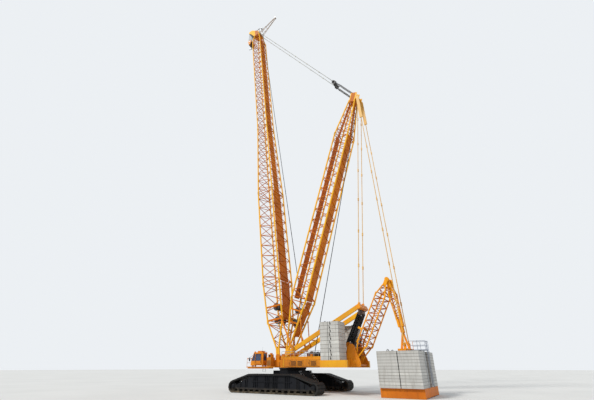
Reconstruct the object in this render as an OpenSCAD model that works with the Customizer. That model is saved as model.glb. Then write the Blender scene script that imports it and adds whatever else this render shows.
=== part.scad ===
// Lattice-boom crawler crane with a derrick boom, a V-shaped ballast guide frame and a
// hanging ballast pallet, as a 1:10 scale model. All sizes are in millimetres of the model.
// +X is the front, +Y the crane's left, +Z up. The origin is on the ground under the slewing centre.

/* [Crawlers] */
// Overall length of a crawler
track_len = 1462; // [1380:2:1500]
// Distance between the two crawlers' centre planes
gauge = 966; // [940:2:1000]
// Width of the track shoes
shoe_w = 216; // [190:2:230]
// Height of the crawler at the middle of its top run
track_h = 236; // [228:1:244]
// Length of the flat top run
track_flat = 660; // [600:2:700]
// Radius of the track round its end wheels, out to the shoes' tips
track_end_r = 76; // [72:1:84]
// Radius of the track where its top run bends
track_bend_r = 70; // [60:1:80]
// Thickness of the track chain with its shoes
chain_t = 20; // [16:1:24]
// Number of shoes in one track
shoe_count = 72; // [60:1:80]
// Depth of the gap between two shoes
shoe_gap_d = 7; // [4:0.5:9]
// Running gap between the track chain and the side frame
chain_gap = 3; // [2:0.5:5]
// Radius of a bottom roller
roller_r = 22; // [18:1:24]
// Number of bottom rollers on each side frame
roller_count = 13; // [9:1:14]

/* [Car body] */
// Length of the car body's middle box
carbody_len = 420; // [380:5:480]
// Height of the car body's underside above the ground
carbody_z0 = 70; // [50:5:100]
// Height of the car body's top, where the slewing ring sits
carbody_z1 = 276; // [262:1:284]
// Height of a cross beam between the car body and a side frame
cross_beam_h = 120; // [90:5:140]
// Length of a cross beam along the crawler
cross_beam_l = 110; // [80:5:140]
// Radius of the slewing ring
ring_r = 206; // [180:2:230]
// Radius of the opening in the slewing ring
ring_bore_r = 150; // [120:2:165]
// Height of the lower slewing ring
ring_h = 22; // [16:1:30]

/* [Superstructure] */
// Height of the superstructure's underside
deck_z0 = 315; // [305:1:330]
// Height of the main frame
frame_h = 105; // [90:1:120]
// Half width of the main frame
frame_w = 168; // [150:1:180]
// Front end of the main frame
frame_x1 = 262; // [240:2:300]
// Rear end of the main frame
frame_x0 = -1010; // [-1040:2:-990]
// Half width over the two side houses
house_w = 289; // [275:1:310]
// Front of the side houses
house_x1 = -15; // [-24:1:-8]
// Rear of the side houses
house_x0 = -672; // [-690:2:-620]
// Wall thickness of a side house
house_wall = 5; // [4:0.5:8]
// Height of the walkway band on a side house
band_h = 34; // [25:1:45]
// Height of a handrail above its walkway
rail_h = 105; // [90:5:120]
// Radius of a handrail tube
rail_r = 2.5; // [2:0.5:4]

/* [Ballast] */
// Half width over the ballast stacks
ballast_w = 430; // [410:2:450]
// Half width of the gap between the ballast stacks
ballast_gap = 200; // [190:2:230]
// Front face of the upper ballast stacks
ballast_x1 = -697; // [-715:1:-690]
// Length of the upper ballast stacks
ballast_len = 276; // [250:2:290]
// Number of plates in an upper stack
plate_n = 10; // [8:1:12]
// Thickness of an upper plate
plate_t = 48; // [40:1:56]
// Gap between two plates
plate_gap = 2; // [1:0.5:4]
// Height of the rail under the upper ballast
ballast_rail_h = 86; // [70:2:96]

/* [Main boom] */
// Distance from the foot pin to the head joint
boom_len = 8400; // [8300:10:8500]
// Angle of the boom above the horizontal
boom_deg = 82.8; // [82.2:0.1:83.2]
// Foot pin, forward of the slewing centre
boom_foot_x = 175; // [168:1:184]
// Foot pin, above the ground
boom_foot_z = 466; // [460:2:490]
// Half spacing of the foot lugs
boom_foot_w = 140; // [134:1:150]
// Half width of the lower sections
boom_w = 200; // [188:1:206]
// Half depth of the lower sections
boom_d = 165; // [152:1:170]
// Half width of the upper sections
boom_up_w = 142; // [134:1:150]
// Half depth of the upper sections
boom_up_d = 124; // [110:1:135]
// Radius of a main chord
chord_r = 13.5; // [11:0.5:15]
// Radius of a brace
brace_r = 6; // [4.5:0.5:7]
// Radius of the boom sheaves at the head
sheave_r = 55; // [48:1:60]
// Number of sheaves at the boom head
sheave_n = 7; // [5:1:8]

/* [Derrick boom] */
// Distance from the foot pin to the head joint
derrick_len = 4880; // [4820:10:4950]
// Angle of the derrick above the horizontal, measured from the front
derrick_deg = 107.6; // [106.8:0.2:108.2]
// Foot pin, forward of the slewing centre
derrick_foot_x = 72; // [62:2:80]
// Half spacing of the foot lugs
derrick_foot_w = 84; // [78:1:92]
// Half width of its sections
derrick_w = 148; // [135:1:152]
// Half depth of its sections
derrick_d = 136; // [125:1:145]

/* [A-frame] */
// Distance from the foot pin to the head
aframe_len = 1390; // [1360:5:1410]
// Angle of the A-frame above the horizontal, measured from the front
aframe_deg = 153.5; // [152.5:0.1:154.5]
// Half spacing of its legs
aframe_w = 150; // [144:1:156]
// Width of a leg
aleg_w = 28; // [22:1:32]
// Depth of a leg
aleg_h = 60; // [48:1:62]

/* [Ballast guide frame] */
// Foot pin of the inner leg, forward of the slewing centre
vfoot_x = -1062; // [-1080:2:-1050]
// Foot pin of the inner leg, above the ground
vfoot_z = 385; // [375:2:400]
// Length of the inner leg between its pins
vin_len = 1190; // [1170:5:1210]
// Angle of the inner leg above the horizontal, measured from the front
vin_deg = 118; // [117:0.5:119]
// Length of the outer leg between its pins
vout_len = 700; // [690:2:720]
// Angle of the outer leg to the vertical
vout_deg = 8.3; // [7:0.1:10]
// Half width of the inner leg
vin_w = 128; // [118:1:136]
// Half depth of the inner leg
vin_d = 70; // [60:1:78]
// Half width of the outer leg at the knee
vout_w = 82; // [74:1:86]

/* [Ballast pallet] */
// Length of the pallet
pallet_len = 512; // [480:2:540]
// Half width of the pallet's frame
pallet_w = 400; // [380:2:420]
// Height of the pallet's frame
pallet_h = 100; // [90:1:104]
// Number of plates in a column
pallet_n = 12; // [10:1:13]
// Thickness of a pallet plate
pallet_t = 33; // [31:0.5:34]
// Gap between the front and the rear column
column_gap = 10; // [8:1:16]

/* [Stays] */
// Radius of a stay bar
stay_r = 6; // [5:0.5:8]
// Distance from the derrick head to the luffing block
luff_gap = 640; // [600:10:700]
// Length of the thick upper links of the ballast pendants
link_len = 560; // [500:10:640]
// Length of the hoist falls from the head sheaves to the hook block
fall_len = 400; // [360:10:440]
// Radius of a rope
rope_r = 3; // [2:0.5:4]

/* [Cab] */
// Front of the cab's floor
cab_x1 = 585; // [570:5:590]
// Length of the cab
cab_len = 228; // [220:2:236]
// Inner side of the cab
cab_y0 = 176; // [174:1:180]
// Width of the cab
cab_w = 114; // [106:1:124]
// Height of the cab's underside
cab_z0 = 344; // [342:1:347]
// Height of the cab
cab_h = 180; // [170:2:190]
// Thickness of the cab's walls and door
cab_wall = 5; // [4:0.5:7]

/* [Hidden] */
$fn = 32;
// Clearance between pieces that seat on each other
seat = 0.3;
// Radial clearance of a pin in its bore
pin_gap = 0.05;
deck_z1 = deck_z0 + frame_h;
rot_boom = 90 - boom_deg;
rot_derrick = 90 - derrick_deg;

// Colours
orange = [0.93, 0.55, 0.05];
plate_grey = [0.72, 0.72, 0.70];
dark = [0.09, 0.09, 0.10];
steel = [0.45, 0.46, 0.48];

// Turns a place in a boom's own frame (x forward of its centre line, z along it) to the crane's frame
function turned(p, deg) = [p[0] * cos(deg) + p[2] * sin(deg), p[1], p[2] * cos(deg) - p[0] * sin(deg)];
function on_boom(x, y, z) = [boom_foot_x, 0, boom_foot_z] + turned([x, y, z], rot_boom);
function on_derrick(x, y, z) = [derrick_foot_x, 0, boom_foot_z] + turned([x, y, z], rot_derrick);
function between(p, q, t) = p + (q - p) * t;

// A round or many-sided rod from p to q
module rod(p, q, r, sides = 8) {
    v = q - p;
    translate(p) rotate([0, acos(v[2] / norm(v)), atan2(v[1], v[0])]) cylinder(h = norm(v), r = r, $fn = sides);
}

// A beam of rectangular section from p to q, w across Y and h across the beam
module bar(p, q, w, h) {
    v = q - p;
    translate(p) rotate([0, atan2(v[0], v[2]), 0]) translate([-h / 2, -w / 2, 0]) cube([h, w, norm(v)]);
}

module slab(x0, x1, y0, y1, z0, z1) {
    translate([x0, y0, z0]) cube([x1 - x0, y1 - y0, z1 - z0]);
}

// A round piece along Y, from y0 to y1, with an optional bore
module drum(x, z, y0, y1, r, bore = 0) {
    translate([x, y0, z]) rotate([-90, 0, 0]) difference() {
        cylinder(h = y1 - y0, r = r);
        if (bore > 0) translate([0, 0, -1]) cylinder(h = y1 - y0 + 2, r = bore);
    }
}

module both() {
    children();
    mirror([0, 1, 0]) children();
}

// Length of the pinned connector at the end of a chord
connector_len = 28;

// One lattice length between two cross sections, each [place along, half width, half depth]
module lattice(a, b, bays, chord = chord_r, brace = brace_r) {
    in = (connector_len + brace / 2) / (b[0] - a[0]);
    function corner(t, sx, sy) = [sx * (a[2] + (b[2] - a[2]) * t), sy * (a[1] + (b[1] - a[1]) * t),
        a[0] + (b[0] - a[0]) * t];
    tuck = 12 / (b[0] - a[0]);
    for (sx = [-1, 1], sy = [-1, 1]) {
        rod(corner(tuck, sx, sy), corner(1 - tuck, sx, sy), chord);
        for (e = [0, 1]) translate(corner(e, sx, sy) - [0, 0, e * connector_len])
            cylinder(h = connector_len, r = chord + 3, $fn = 8);
    }
    for (i = [0 : bays - 1]) {
        t0 = in + (1 - 2 * in) * i / bays;
        t1 = in + (1 - 2 * in) * (i + 1) / bays;
        f = i % 2 == 0 ? 1 : -1;
        for (s = [-1, 1]) {
            rod(corner(t0, s, -f), corner(t1, s, f), brace, 6);
            rod(corner(t0, -f, s), corner(t1, f, s), brace, 6);
        }
    }
    for (t = [in, 1 - in], s = [-1, 1]) {
        rod(corner(t, s, -1), corner(t, s, 1), brace, 6);
        rod(corner(t, -1, s), corner(t, 1, s), brace, 6);
    }
}

// Walkway plate that lies on the braces of a lattice's rear face, or of its front face where side is 1.
// It stops short of the lattice's two ends.
walk_t = 4;
walk_stop = 3;
module walkway(a, b, y0, y1, side = -1, stop = [walk_stop, walk_stop]) {
    // In a tapered length the braces' flats turn a little towards the plate
    lean = 4 * abs(b[2] - a[2]) / (b[0] - a[0]);
    off = brace_r * cos(30) + seat + lean + walk_t / 2;
    function face(z) = side * (a[2] + (b[2] - a[2]) * (z - a[0]) / (b[0] - a[0]) - off);
    y = (y0 + y1) / 2;
    z0 = a[0] + stop[0];
    z1 = b[0] - stop[1];
    bar([face(z0), y, z0], [face(z1), y, z1], y1 - y0, walk_t);
}

// Track loop: a belt round circles [x, z, r], listed so that the belt keeps them on its left
wheel_x = track_len / 2 - track_end_r;
bend_z = track_h - track_bend_r;
bend_x = track_flat / 2;
track_circles = [[wheel_x, track_end_r, track_end_r], [bend_x, bend_z, track_bend_r],
    [-bend_x, bend_z, track_bend_r], [-wheel_x, track_end_r, track_end_r]];

// The outer tangent from circle a to circle b: [start, end, direction]
function tangent(a, b) = let (
        d = [b[0] - a[0], b[1] - a[1]],
        turn = atan2(d[1], d[0]) - asin((a[2] - b[2]) / norm(d)),
        n = [sin(turn), -cos(turn)])
    [[a[0], a[1]] + n * a[2], [b[0], b[1]] + n * b[2], turn];

// The belt as pieces: a straight run, then the arc round the circle at its end
function belt(c) = let (m = len(c), t = [for (i = [0 : m - 1]) tangent(c[i], c[(i + 1) % m])])
    [for (i = [0 : m - 1]) let (
        next = t[(i + 1) % m],
        sweep = (next[2] - t[i][2] + 720) % 360)
        [t[i][0], t[i][2], norm(t[i][1] - t[i][0]), c[(i + 1) % m], sweep,
            PI * c[(i + 1) % m][2] * sweep / 180]];

// The point at distance s along the belt: [x, z, direction]
function belt_at(b, s, i = 0) = let (run = b[i][2], arc = b[i][5])
    s <= run ? [b[i][0][0] + cos(b[i][1]) * s, b[i][0][1] + sin(b[i][1]) * s, b[i][1]]
    : s <= run + arc || i == len(b) - 1 ? let (
            c = b[i][3],
            a = b[i][1] + (s - run) / c[2] * 180 / PI)
        [c[0] + sin(a) * c[2], c[1] - cos(a) * c[2], a]
    : belt_at(b, s - run - arc, i + 1);

function belt_len(b) = [for (p = b) 1] * [for (p = b) p[2] + p[5]];

// A place on the belt, moved inward by d
function belt_in(b, s, d) = let (p = belt_at(b, s)) [p[0] - sin(p[2]) * d, p[1] + cos(p[2]) * d];

track_belt = belt(track_circles);
pitch = belt_len(track_belt) / shoe_count;

module track() {
    gap = pitch * 0.14;
    outer = [for (i = [0 : shoe_count - 1]) each [
        belt_in(track_belt, i * pitch, shoe_gap_d),
        belt_in(track_belt, i * pitch + gap, 0),
        belt_in(track_belt, (i + 1) * pitch - gap, 0)]];
    inner = [for (i = [0 : shoe_count - 1]) belt_in(track_belt, i * pitch, chain_t)];
    color(dark) translate([0, shoe_w / 2, 0]) rotate([90, 0, 0]) linear_extrude(shoe_w) difference() {
        polygon(outer);
        polygon(inner);
    }
}

// Side frame: a plate box inside the track, between its end wheels
frame_in = chain_t + chain_gap;
side_frame_w = shoe_w - 44;
wheel_r = track_end_r - frame_in;
// Gap between an end wheel and the flat links that bend round it
wheel_gap = 4;
plate_t_side = 8;
// Height of the flange on a side frame's outer face
flange_z = 138;
// Ribs on a side frame's faces, forward and aft of its middle
rib_x = [36, 66, 96, 230, 260, 290, 410, 440, 520];
module side_frame(s) {
    x_end = wheel_x - wheel_r - 6;
    bottom = frame_in + 2 * roller_r + 1;
    top = track_h - frame_in;
    shoulder = track_end_r + wheel_r * 0.45;
    color(dark) {
        translate([0, side_frame_w / 2 - 1, 0]) rotate([90, 0, 0]) linear_extrude(side_frame_w - 2)
            polygon([[-x_end, bottom], [x_end, bottom], [x_end, shoulder], [bend_x, top], [-bend_x, top], [-x_end, shoulder]]);
        // Flange along the outer face
        slab(-bend_x, bend_x, s * (side_frame_w / 2 + 4) - 6, s * (side_frame_w / 2 + 4) + 6, flange_z, flange_z + 8);
        for (y = [-1, 1]) {
            for (e = [-1, 1], x = rib_x) let (high = top - max(0, x - bend_x) * (top - shoulder) / (x_end - bend_x) - 5)
                slab(e * x - 3, e * x + 3, y * (side_frame_w / 2 + 5) - 7, y * (side_frame_w / 2 + 5) + 7, bottom + 4, high);
            y0 = y * (side_frame_w - plate_t_side) / 2;
            slab(-x_end, x_end, y0 - plate_t_side / 2, y0 + plate_t_side / 2, frame_in + roller_r, bottom + 1);
            for (e = [-1, 1]) slab(min(e * (x_end - 20), e * (wheel_x + 14)), max(e * (x_end - 20), e * (wheel_x + 14)),
                y0 - plate_t_side / 2, y0 + plate_t_side / 2, track_end_r - 18, track_end_r + 18);
        }
    }
}

module rollers() {
    half = side_frame_w / 2 - plate_t_side - seat;
    step = (2 * wheel_x - 2 * wheel_r - 70) / (roller_count - 1);
    color(steel) {
        for (i = [0 : roller_count - 1])
            drum((i - (roller_count - 1) / 2) * step, chain_t + roller_r, -half, half, roller_r - seat);
        for (s = [-1, 1]) drum(s * wheel_x, track_end_r, -half, half, wheel_r - wheel_gap);
    }
}

module car_body() {
    half = gauge / 2 - side_frame_w / 2 - seat;
    color(dark) difference() {
        union() {
            slab(-carbody_len / 2, carbody_len / 2, -carbody_len / 2, carbody_len / 2, carbody_z0, carbody_z1);
            for (s = [-1, 1]) let (x = s * (carbody_len / 2 - 40)) slab(x - cross_beam_l / 2, x + cross_beam_l / 2, -half, half,
                carbody_z0 + 14, carbody_z0 + 14 + cross_beam_h);
            translate([0, 0, carbody_z1 - 4]) cylinder(h = deck_z0 - carbody_z1 - ring_h + 4, r = ring_r - 10);
        }
        translate([0, 0, carbody_z1 - 60]) cylinder(h = 120, r = ring_bore_r);
    }
}

module slew_ring() {
    color(steel) translate([0, 0, deck_z0 - ring_h]) difference() {
        cylinder(h = ring_h - seat, r = ring_r);
        translate([0, 0, -1]) cylinder(h = ring_h + 2, r = ring_bore_r);
    }
}

// Ladders from the ground to the car body's rear corners
module access_ladders() {
    foot = [-carbody_len / 2 - 190, 60];
    top = [-carbody_len / 2 - 6, carbody_z1 - 6];
    color("silver") for (y = [-150, 150]) {
        for (s = [-1, 1]) rod([foot[0], y + s * 32, foot[1]], [top[0], y + s * 32, top[1]], 3.5, 6);
        for (i = [1 : 6]) let (t = i / 7) rod([foot[0] + (top[0] - foot[0]) * t, y - 34, foot[1] + (top[1] - foot[1]) * t],
            [foot[0] + (top[0] - foot[0]) * t, y + 34, foot[1] + (top[1] - foot[1]) * t], 2.5, 6);
        slab(top[0] - 6, -carbody_len / 2, y - 36, y + 36, top[1] - 6, top[1]);
    }
}

// Superstructure
foot_pin_r = 16;
// Half depth of a boom where its chords meet the foot lugs
foot_half_d = 19;
lug_r = 34;
module foot_bearing(x, w, t) {
    // Two cheeks beside each lug, with the pin between them
    for (s = [-1, 1]) {
        slab(x - lug_r, x + lug_r, s * (w + (t + 12) / 2) - 5, s * (w + (t + 12) / 2) + 5, deck_z1 - 1, boom_foot_z);
        slab(x - lug_r, x + lug_r, s * (w - (t + 12) / 2) - 5, s * (w - (t + 12) / 2) + 5, deck_z1 - 1, boom_foot_z);
        drum(x, boom_foot_z, s * (w + (t + 12) / 2) - 5, s * (w + (t + 12) / 2) + 5, lug_r);
        drum(x, boom_foot_z, s * (w - (t + 12) / 2) - 5, s * (w - (t + 12) / 2) + 5, lug_r);
        drum(x, boom_foot_z, s * w - t / 2 - 6, s * w + t / 2 + 6, foot_pin_r);
    }
}

boom_lug_t = 22;
derrick_lug_t = 20;
aframe_lug_t = 20;
// Cross members between the main frame's two beams
cross_x = [0, -260, -520, -780];
module main_frame() {
    color(orange) {
        for (s = [-1, 1]) slab(frame_x0, frame_x1, s * (frame_w - 20) - 20, s * (frame_w - 20) + 20, deck_z0, deck_z1);
        slab(frame_x0, frame_x1, -frame_w + 10, frame_w - 10, deck_z0 + 8, deck_z0 + 20);
        for (x = [frame_x1 - 20, for (x = cross_x) x, frame_x0 + 1])
            slab(x, x + 18, -frame_w + 10, frame_w - 10, deck_z0 + 10, deck_z1 - 6);
        difference() {
            intersection() {
                translate([0, 0, deck_z0 + seat]) cylinder(h = 30, r = ring_r);
                slab(-ring_r - 1, ring_r + 1, -frame_w + 1, frame_w - 1, deck_z0, deck_z1);
            }
            translate([0, 0, deck_z0 - 1]) cylinder(h = 40, r = ring_bore_r);
        }
        foot_bearing(boom_foot_x, boom_foot_w, boom_lug_t);
        foot_bearing(derrick_foot_x, derrick_foot_w, derrick_lug_t);
        foot_bearing(derrick_foot_x, aframe_w, aframe_lug_t);
    }
}

// How far a walkway reaches past the front of its house
walk_lip = 40;
// Doors on the outside of a house: [front end, length, louvres]
house_doors = [[-30, 96, 0], [-138, 96, 7], [-246, 96, 7], [-354, 96, 0], [-462, 96, 7], [-570, 90, 0]];
// Height of a house's underside
house_z0 = deck_z0 + 6;
module house(s) {
    y0 = s > 0 ? frame_w + seat : -house_w;
    y1 = s > 0 ? house_w : -frame_w - seat;
    z0 = house_z0;
    color(orange) {
        difference() {
            slab(house_x0, house_x1, y0, y1, z0, deck_z1);
            slab(house_x0 + house_wall, house_x1 - house_wall, y0 + house_wall, y1 - house_wall,
                z0 + house_wall, deck_z1 - house_wall);
        }
        slab(house_x0, house_x1 + walk_lip, y0, y1, deck_z1 - 1, deck_z1 + 6);
        slab(house_x0, house_x1 + walk_lip, s * (house_w - 5) - 5, s * (house_w - 5) + 5, deck_z1, deck_z1 + band_h);
        slab(backstop_foot[0] - 16, backstop_foot[0] + 16, s * backstop_w - 13, s * backstop_w + 13, deck_z1, backstop_foot[2] - 10 - seat);
        for (d = house_doors) {
            slab(d[0] - d[1], d[0], s * house_w - 2, s * house_w + 2, z0 + 8, deck_z1 - 8);
            if (d[2] > 0) for (i = [0 : d[2] - 1])
                slab(d[0] - d[1] + 10, d[0] - 10, s * (house_w + 2) - 2.5, s * (house_w + 2) + 2.5, z0 + 20 + i * 8, z0 + 23 + i * 8);
        }
    }
}

module engine_block() {
    color(steel) slab(house_x0 + 60, house_x0 + 320, -house_w + 16, -frame_w - 14, house_z0 + house_wall + seat, deck_z1 - 14);
}

// Handrails along the outer edge of both walkways
module handrails() {
    y = house_w - 5;
    z = deck_z1 + band_h;
    color(orange) both() {
        for (h = [0.5, 1]) rod([house_x0 + 6, y, z + (rail_h - band_h) * h], [house_x1 + walk_lip - 6, y, z + (rail_h - band_h) * h], rail_r, 6);
        for (i = [0 : 9]) let (x = house_x0 + 6 + i * (house_x1 + walk_lip - 12 - house_x0) / 9)
            rod([x, y, z], [x, y, deck_z1 + rail_h], rail_r, 6);
    }
}

// A winch: a rope drum between two flanges on two stands
module winch(x, z, w, r, base) {
    color(steel) {
        drum(x, z, -w, w, r);
        for (s = [-1, 1]) drum(x, z, s * w - 4, s * w + 4, r + 14);
    }
    color(orange) for (s = [-1, 1]) slab(x - 20, x + 20, s * (w + 9) - 6, s * (w + 9) + 6, base, z + 12);
}

module hoist_winches() {
    for (x = [-385, -640, -860]) winch(x, deck_z1 + 58, 96, 36, deck_z0 + 20);
}

// Ballast
module stack(x0, x1, y0, y1, z0, n, t) {
    inset = 3;
    slab(x0 + inset, x1 - inset, y0 + inset, y1 - inset, z0, z0 + n * t - plate_gap);
    for (i = [0 : n - 1]) slab(x0, x1, y0, y1, z0 + i * t, z0 + (i + 1) * t - plate_gap);
}

ballast_z0 = deck_z0 + ballast_rail_h;
module ballast_stack() {
    color(plate_grey) stack(ballast_x1 - ballast_len, ballast_x1, ballast_gap, ballast_w,
        ballast_z0 + seat, plate_n, plate_t);
}

module ballast_rail() {
    color(orange) both() {
        slab(ballast_x1 - ballast_len - 100, ballast_x1 + 14, ballast_w - 36, ballast_w, deck_z0, ballast_z0);
        for (x = [ballast_x1 - 60, ballast_x1 - ballast_len + 10])
            slab(x, x + 50, frame_w + seat, ballast_w - 30, deck_z0 + 16, ballast_z0);
        slab(ballast_x1 - ballast_len, ballast_x1, frame_w + seat, frame_w + 50, deck_z0 + 10, ballast_z0);
    }
}

// Bracket at the rear of the main frame, with the pins of the guide frame's inner leg
vfoot = [vfoot_x, 0, vfoot_z];
vlug_t = 20;
module guide_bracket() {
    color(orange) {
        for (s = [-1, 1]) {
            for (e = [-1, 1]) {
                y = s * (vin_w - 16) + e * (vlug_t / 2 + 5);
                slab(vfoot_x - 26, frame_x0 - seat, y - 4, y + 4, deck_z0, deck_z1);
                drum(vfoot_x, vfoot_z, y - 4, y + 4, 34);
                drum(vfoot_x, vfoot_z, min(y, s * (vin_w - 16)), max(y, s * (vin_w - 16)), 12);
            }
        }
        slab(frame_x0 - 16, frame_x0 - seat, -vin_w, vin_w, deck_z0, deck_z1 - 4);
        both() {
            for (y = [cyl_y - 13, cyl_y + 13]) slab(cyl_foot[0] - 12, frame_x0 - seat, y - 3.5, y + 3.5, deck_z1 - 30, cyl_foot[2] + 12);
            drum(cyl_foot[0], cyl_foot[2], cyl_y - 14, cyl_y + 14, 7);
        }
    }
}

// Post with the lower sheaves of the A-frame's falls
luff_x = -952;
luff_z = 600;
module luffing_base() {
    color(orange) both() slab(luff_x - 24, luff_x + 24, 58, 70, deck_z0 + 20, luff_z + 14);
    color(steel) drum(luff_x, luff_z, -58, 58, 36);
}

// Cab platform in front of the main frame's left side, with the pin the cab tilts about
cab_x0 = cab_x1 - cab_len;
tilt_x = cab_x0 + 10;
tilt_z = cab_z0 - 7;
platform_top = deck_z0 + 12;
platform_x0 = 128;
platform_x1 = cab_x1 + 72;
module cab_platform() {
    rail_x = platform_x1 - 4;
    color(orange) {
        slab(platform_x0, platform_x1, frame_w + 4, house_w + 6, deck_z0 + 1, platform_top);
        slab(platform_x0, frame_x1, frame_w + seat, frame_w + 8, deck_z0 + 1, deck_z0 + 70);
        for (y = [frame_w + 12, house_w - 8]) slab(240, platform_x1 - 20, y - 6, y + 6, deck_z0 - 14, deck_z0 + 2);
        for (y = [cab_y0 + 26, cab_y1 - 26]) {
            slab(tilt_x - 9, tilt_x + 9, y - 4, y + 4, platform_top - 1, tilt_z);
            slab(cab_x1 - 40, cab_x1 - 16, y - 8, y + 8, platform_top - 1, cab_z0 - seat);
        }
        drum(tilt_x, tilt_z, cab_y0 + 8, cab_y1 - 8, 5);
        for (y = [frame_w + 10, house_w]) rod([rail_x, y, platform_top - 1], [rail_x, y, platform_top + 108], rail_r, 6);
        for (z = [54, 106]) rod([rail_x, frame_w + 8, platform_top + z], [rail_x, house_w + 2, platform_top + z], rail_r, 6);
        for (y = [frame_w + 26, house_w - 16]) slab(rail_x - 4, rail_x + 4, y - 9, y + 9, platform_top + 105, platform_top + 122);
    }
}

// Service pod between the cab and the boom's foot
pod_x0 = cab_x0 - 145;
pod_x1 = cab_x0 - 72;
module service_pod() {
    color(orange) {
        slab(pod_x0, pod_x1, frame_w + 8, house_w - 5, platform_top + seat, deck_z0 + 136);
        slab(pod_x0 + 12, pod_x1 - 8, frame_w + 24, house_w - 26, deck_z0 + 135, deck_z0 + 178);
        slab(pod_x0 + 22, pod_x1 - 26, frame_w + 40, house_w - 44, deck_z0 + 177, deck_z0 + 196);
    }
}

// Cab: hollow, with its windows cut
module cab_outline(inset) {
    polygon([[cab_x0 + inset, cab_z0 + inset], [cab_x1 - inset, cab_z0 + inset],
        [cab_x1 - 8 - inset, cab_z0 + cab_h * 0.34], [cab_x1 - 58 - inset, cab_z0 + cab_h - inset],
        [cab_x0 + inset, cab_z0 + cab_h - inset]]);
}

module cab_block(inset, y0, y1) {
    translate([0, y1, 0]) rotate([90, 0, 0]) linear_extrude(y1 - y0) cab_outline(inset);
}

door_x0 = cab_x0 + 24;
door_x1 = cab_x1 - 90;
door_z0 = cab_z0 + 20;
door_z1 = cab_z0 + cab_h - 16;
window_z = cab_z0 + cab_h * 0.36;
cab_y1 = cab_y0 + cab_w;
rail_t = 2;
module cab_shell() {
    color(orange) for (y = [cab_y0 + 13, cab_y1 - 13]) difference() {
        union() {
            drum(tilt_x, tilt_z, y - 4, y + 4, 9);
            slab(tilt_x - 9, tilt_x + 9, y - 4, y + 4, tilt_z, cab_z0 + 2);
        }
        drum(tilt_x, tilt_z, y - 6, y + 6, 5 + pin_gap);
    }
    // Rails of the sliding door
    color(dark) for (z = [door_z0 - 3, door_z1]) slab(cab_x0, door_x1 + 3, cab_y1 - 1, cab_y1 + rail_t, z, z + 3);
    // Air conditioner and work lamps on the roof
    color(dark) {
        slab(cab_x0 + 34, cab_x0 + 112, cab_y0 + 18, cab_y1 - 18, cab_z0 + cab_h - 1, cab_z0 + cab_h + 20);
        for (y = [cab_y0 + 16, cab_y1 - 16]) slab(cab_x1 - 74, cab_x1 - 60, y - 9, y + 9, cab_z0 + cab_h - 1, cab_z0 + cab_h + 14);
    }
    color(orange) difference() {
        cab_block(0, cab_y0, cab_y1);
        cab_block(cab_wall, cab_y0 + cab_wall, cab_y1 - cab_wall);
        // Door opening in the outer side
        slab(door_x0, door_x1, cab_y1 - 10, cab_y1 + 1, door_z0, door_z1);
        // Front quarter window beside the door
        translate([0, cab_y1 + 1, 0]) rotate([90, 0, 0]) linear_extrude(12) polygon([[door_x1 + 6, window_z],
            [cab_x1 - 18, window_z], [cab_x1 - 62, door_z1], [door_x1 + 6, door_z1]]);
        // Windscreen
        slab(cab_x1 - 76, cab_x1 + 1, cab_y0 + 10, cab_y1 - 10, window_z, cab_z0 + cab_h - 14);
        // Inner side window and rear window
        slab(cab_x0 + 24, door_x1, cab_y0 - 1, cab_y0 + 10, window_z, door_z1);
        slab(cab_x0 - 1, cab_x0 + 10, cab_y0 + 20, cab_y1 - 20, window_z, door_z1);
    }
}

glass_t = 2;
module cab_glass() {
    color([0.2, 0.3, 0.4]) {
        // Windscreen, just inside its opening
        intersection() {
            difference() {
                cab_block(1, cab_y0 + 10 + seat, cab_y1 - 10 - seat);
                cab_block(1 + glass_t, cab_y0, cab_y1);
            }
            slab(cab_x1 - 90, cab_x1, cab_y0, cab_y1, window_z + seat, cab_z0 + cab_h - 14 - seat);
        }
        slab(door_x0 + seat, door_x1 - seat, cab_y0 + 1, cab_y0 + 1 + glass_t, window_z + seat, door_z1 - seat);
        slab(cab_x0 + 1, cab_x0 + 1 + glass_t, cab_y0 + 20 + seat, cab_y1 - 20 - seat,
            window_z + seat, door_z1 - seat);
    }
}

module cab_seat() {
    y = (cab_y0 + cab_y1) / 2;
    floor_z = cab_z0 + cab_wall;
    color(dark) {
        slab(door_x0 + 20, door_x0 + 40, y - 10, y + 10, floor_z, floor_z + 34);
        slab(door_x0 + 8, door_x0 + 54, y - 22, y + 22, floor_z + 33, floor_z + 45);
        slab(door_x0 + 2, door_x0 + 12, y - 20, y + 20, floor_z + 44, floor_z + 100);
        slab(cab_x1 - 60, cab_x1 - 34, y - 30, y + 30, floor_z, floor_z + 50);
    }
}

// Sliding door on the outside of the cab
door_t = cab_wall;
module cab_door() {
    y = cab_y1 + rail_t + seat;
    color(orange) difference() {
        slab(door_x0 - 3, door_x1 + 3, y, y + door_t, door_z0 - 3, door_z1 + 3);
        slab(door_x0 + 6, door_x1 - 6, y - 1, y + door_t + 1, window_z, door_z1 - 6);
    }
}

// Main boom, built along +Z from its foot pin
foot_kink = 520;
foot_end = 1150;
low_end = 3000;
mid_end = 4750;
// Length of the tapered head at the boom's top
head_taper = 340;
up_end = boom_len - head_taper;
// Share of a section's half width that its walkway covers, to the left and to the right
walk_left = 0.75;
walk_right = 0.5;
module in_boom() {
    translate([boom_foot_x, 0, boom_foot_z]) rotate([0, rot_boom, 0]) children();
}

module foot_lug(w, t) {
    for (s = [-1, 1]) difference() {
        union() {
            drum(0, 0, s * w - t / 2, s * w + t / 2, lug_r - 3);
            slab(-lug_r + 3, lug_r - 3, s * w - t / 2, s * w + t / 2, 0, 120);
        }
        drum(0, 0, s * w - t / 2 - 1, s * w + t / 2 + 1, foot_pin_r + pin_gap);
    }
}

boom_winch_z = [540, 750];
boom_winch_w = 92;
boom_foot_a = [104, boom_foot_w, foot_half_d];
boom_foot_m = [foot_kink, boom_foot_w + 25, boom_d - 25];
boom_foot_b = [foot_end, boom_w, boom_d];
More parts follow.
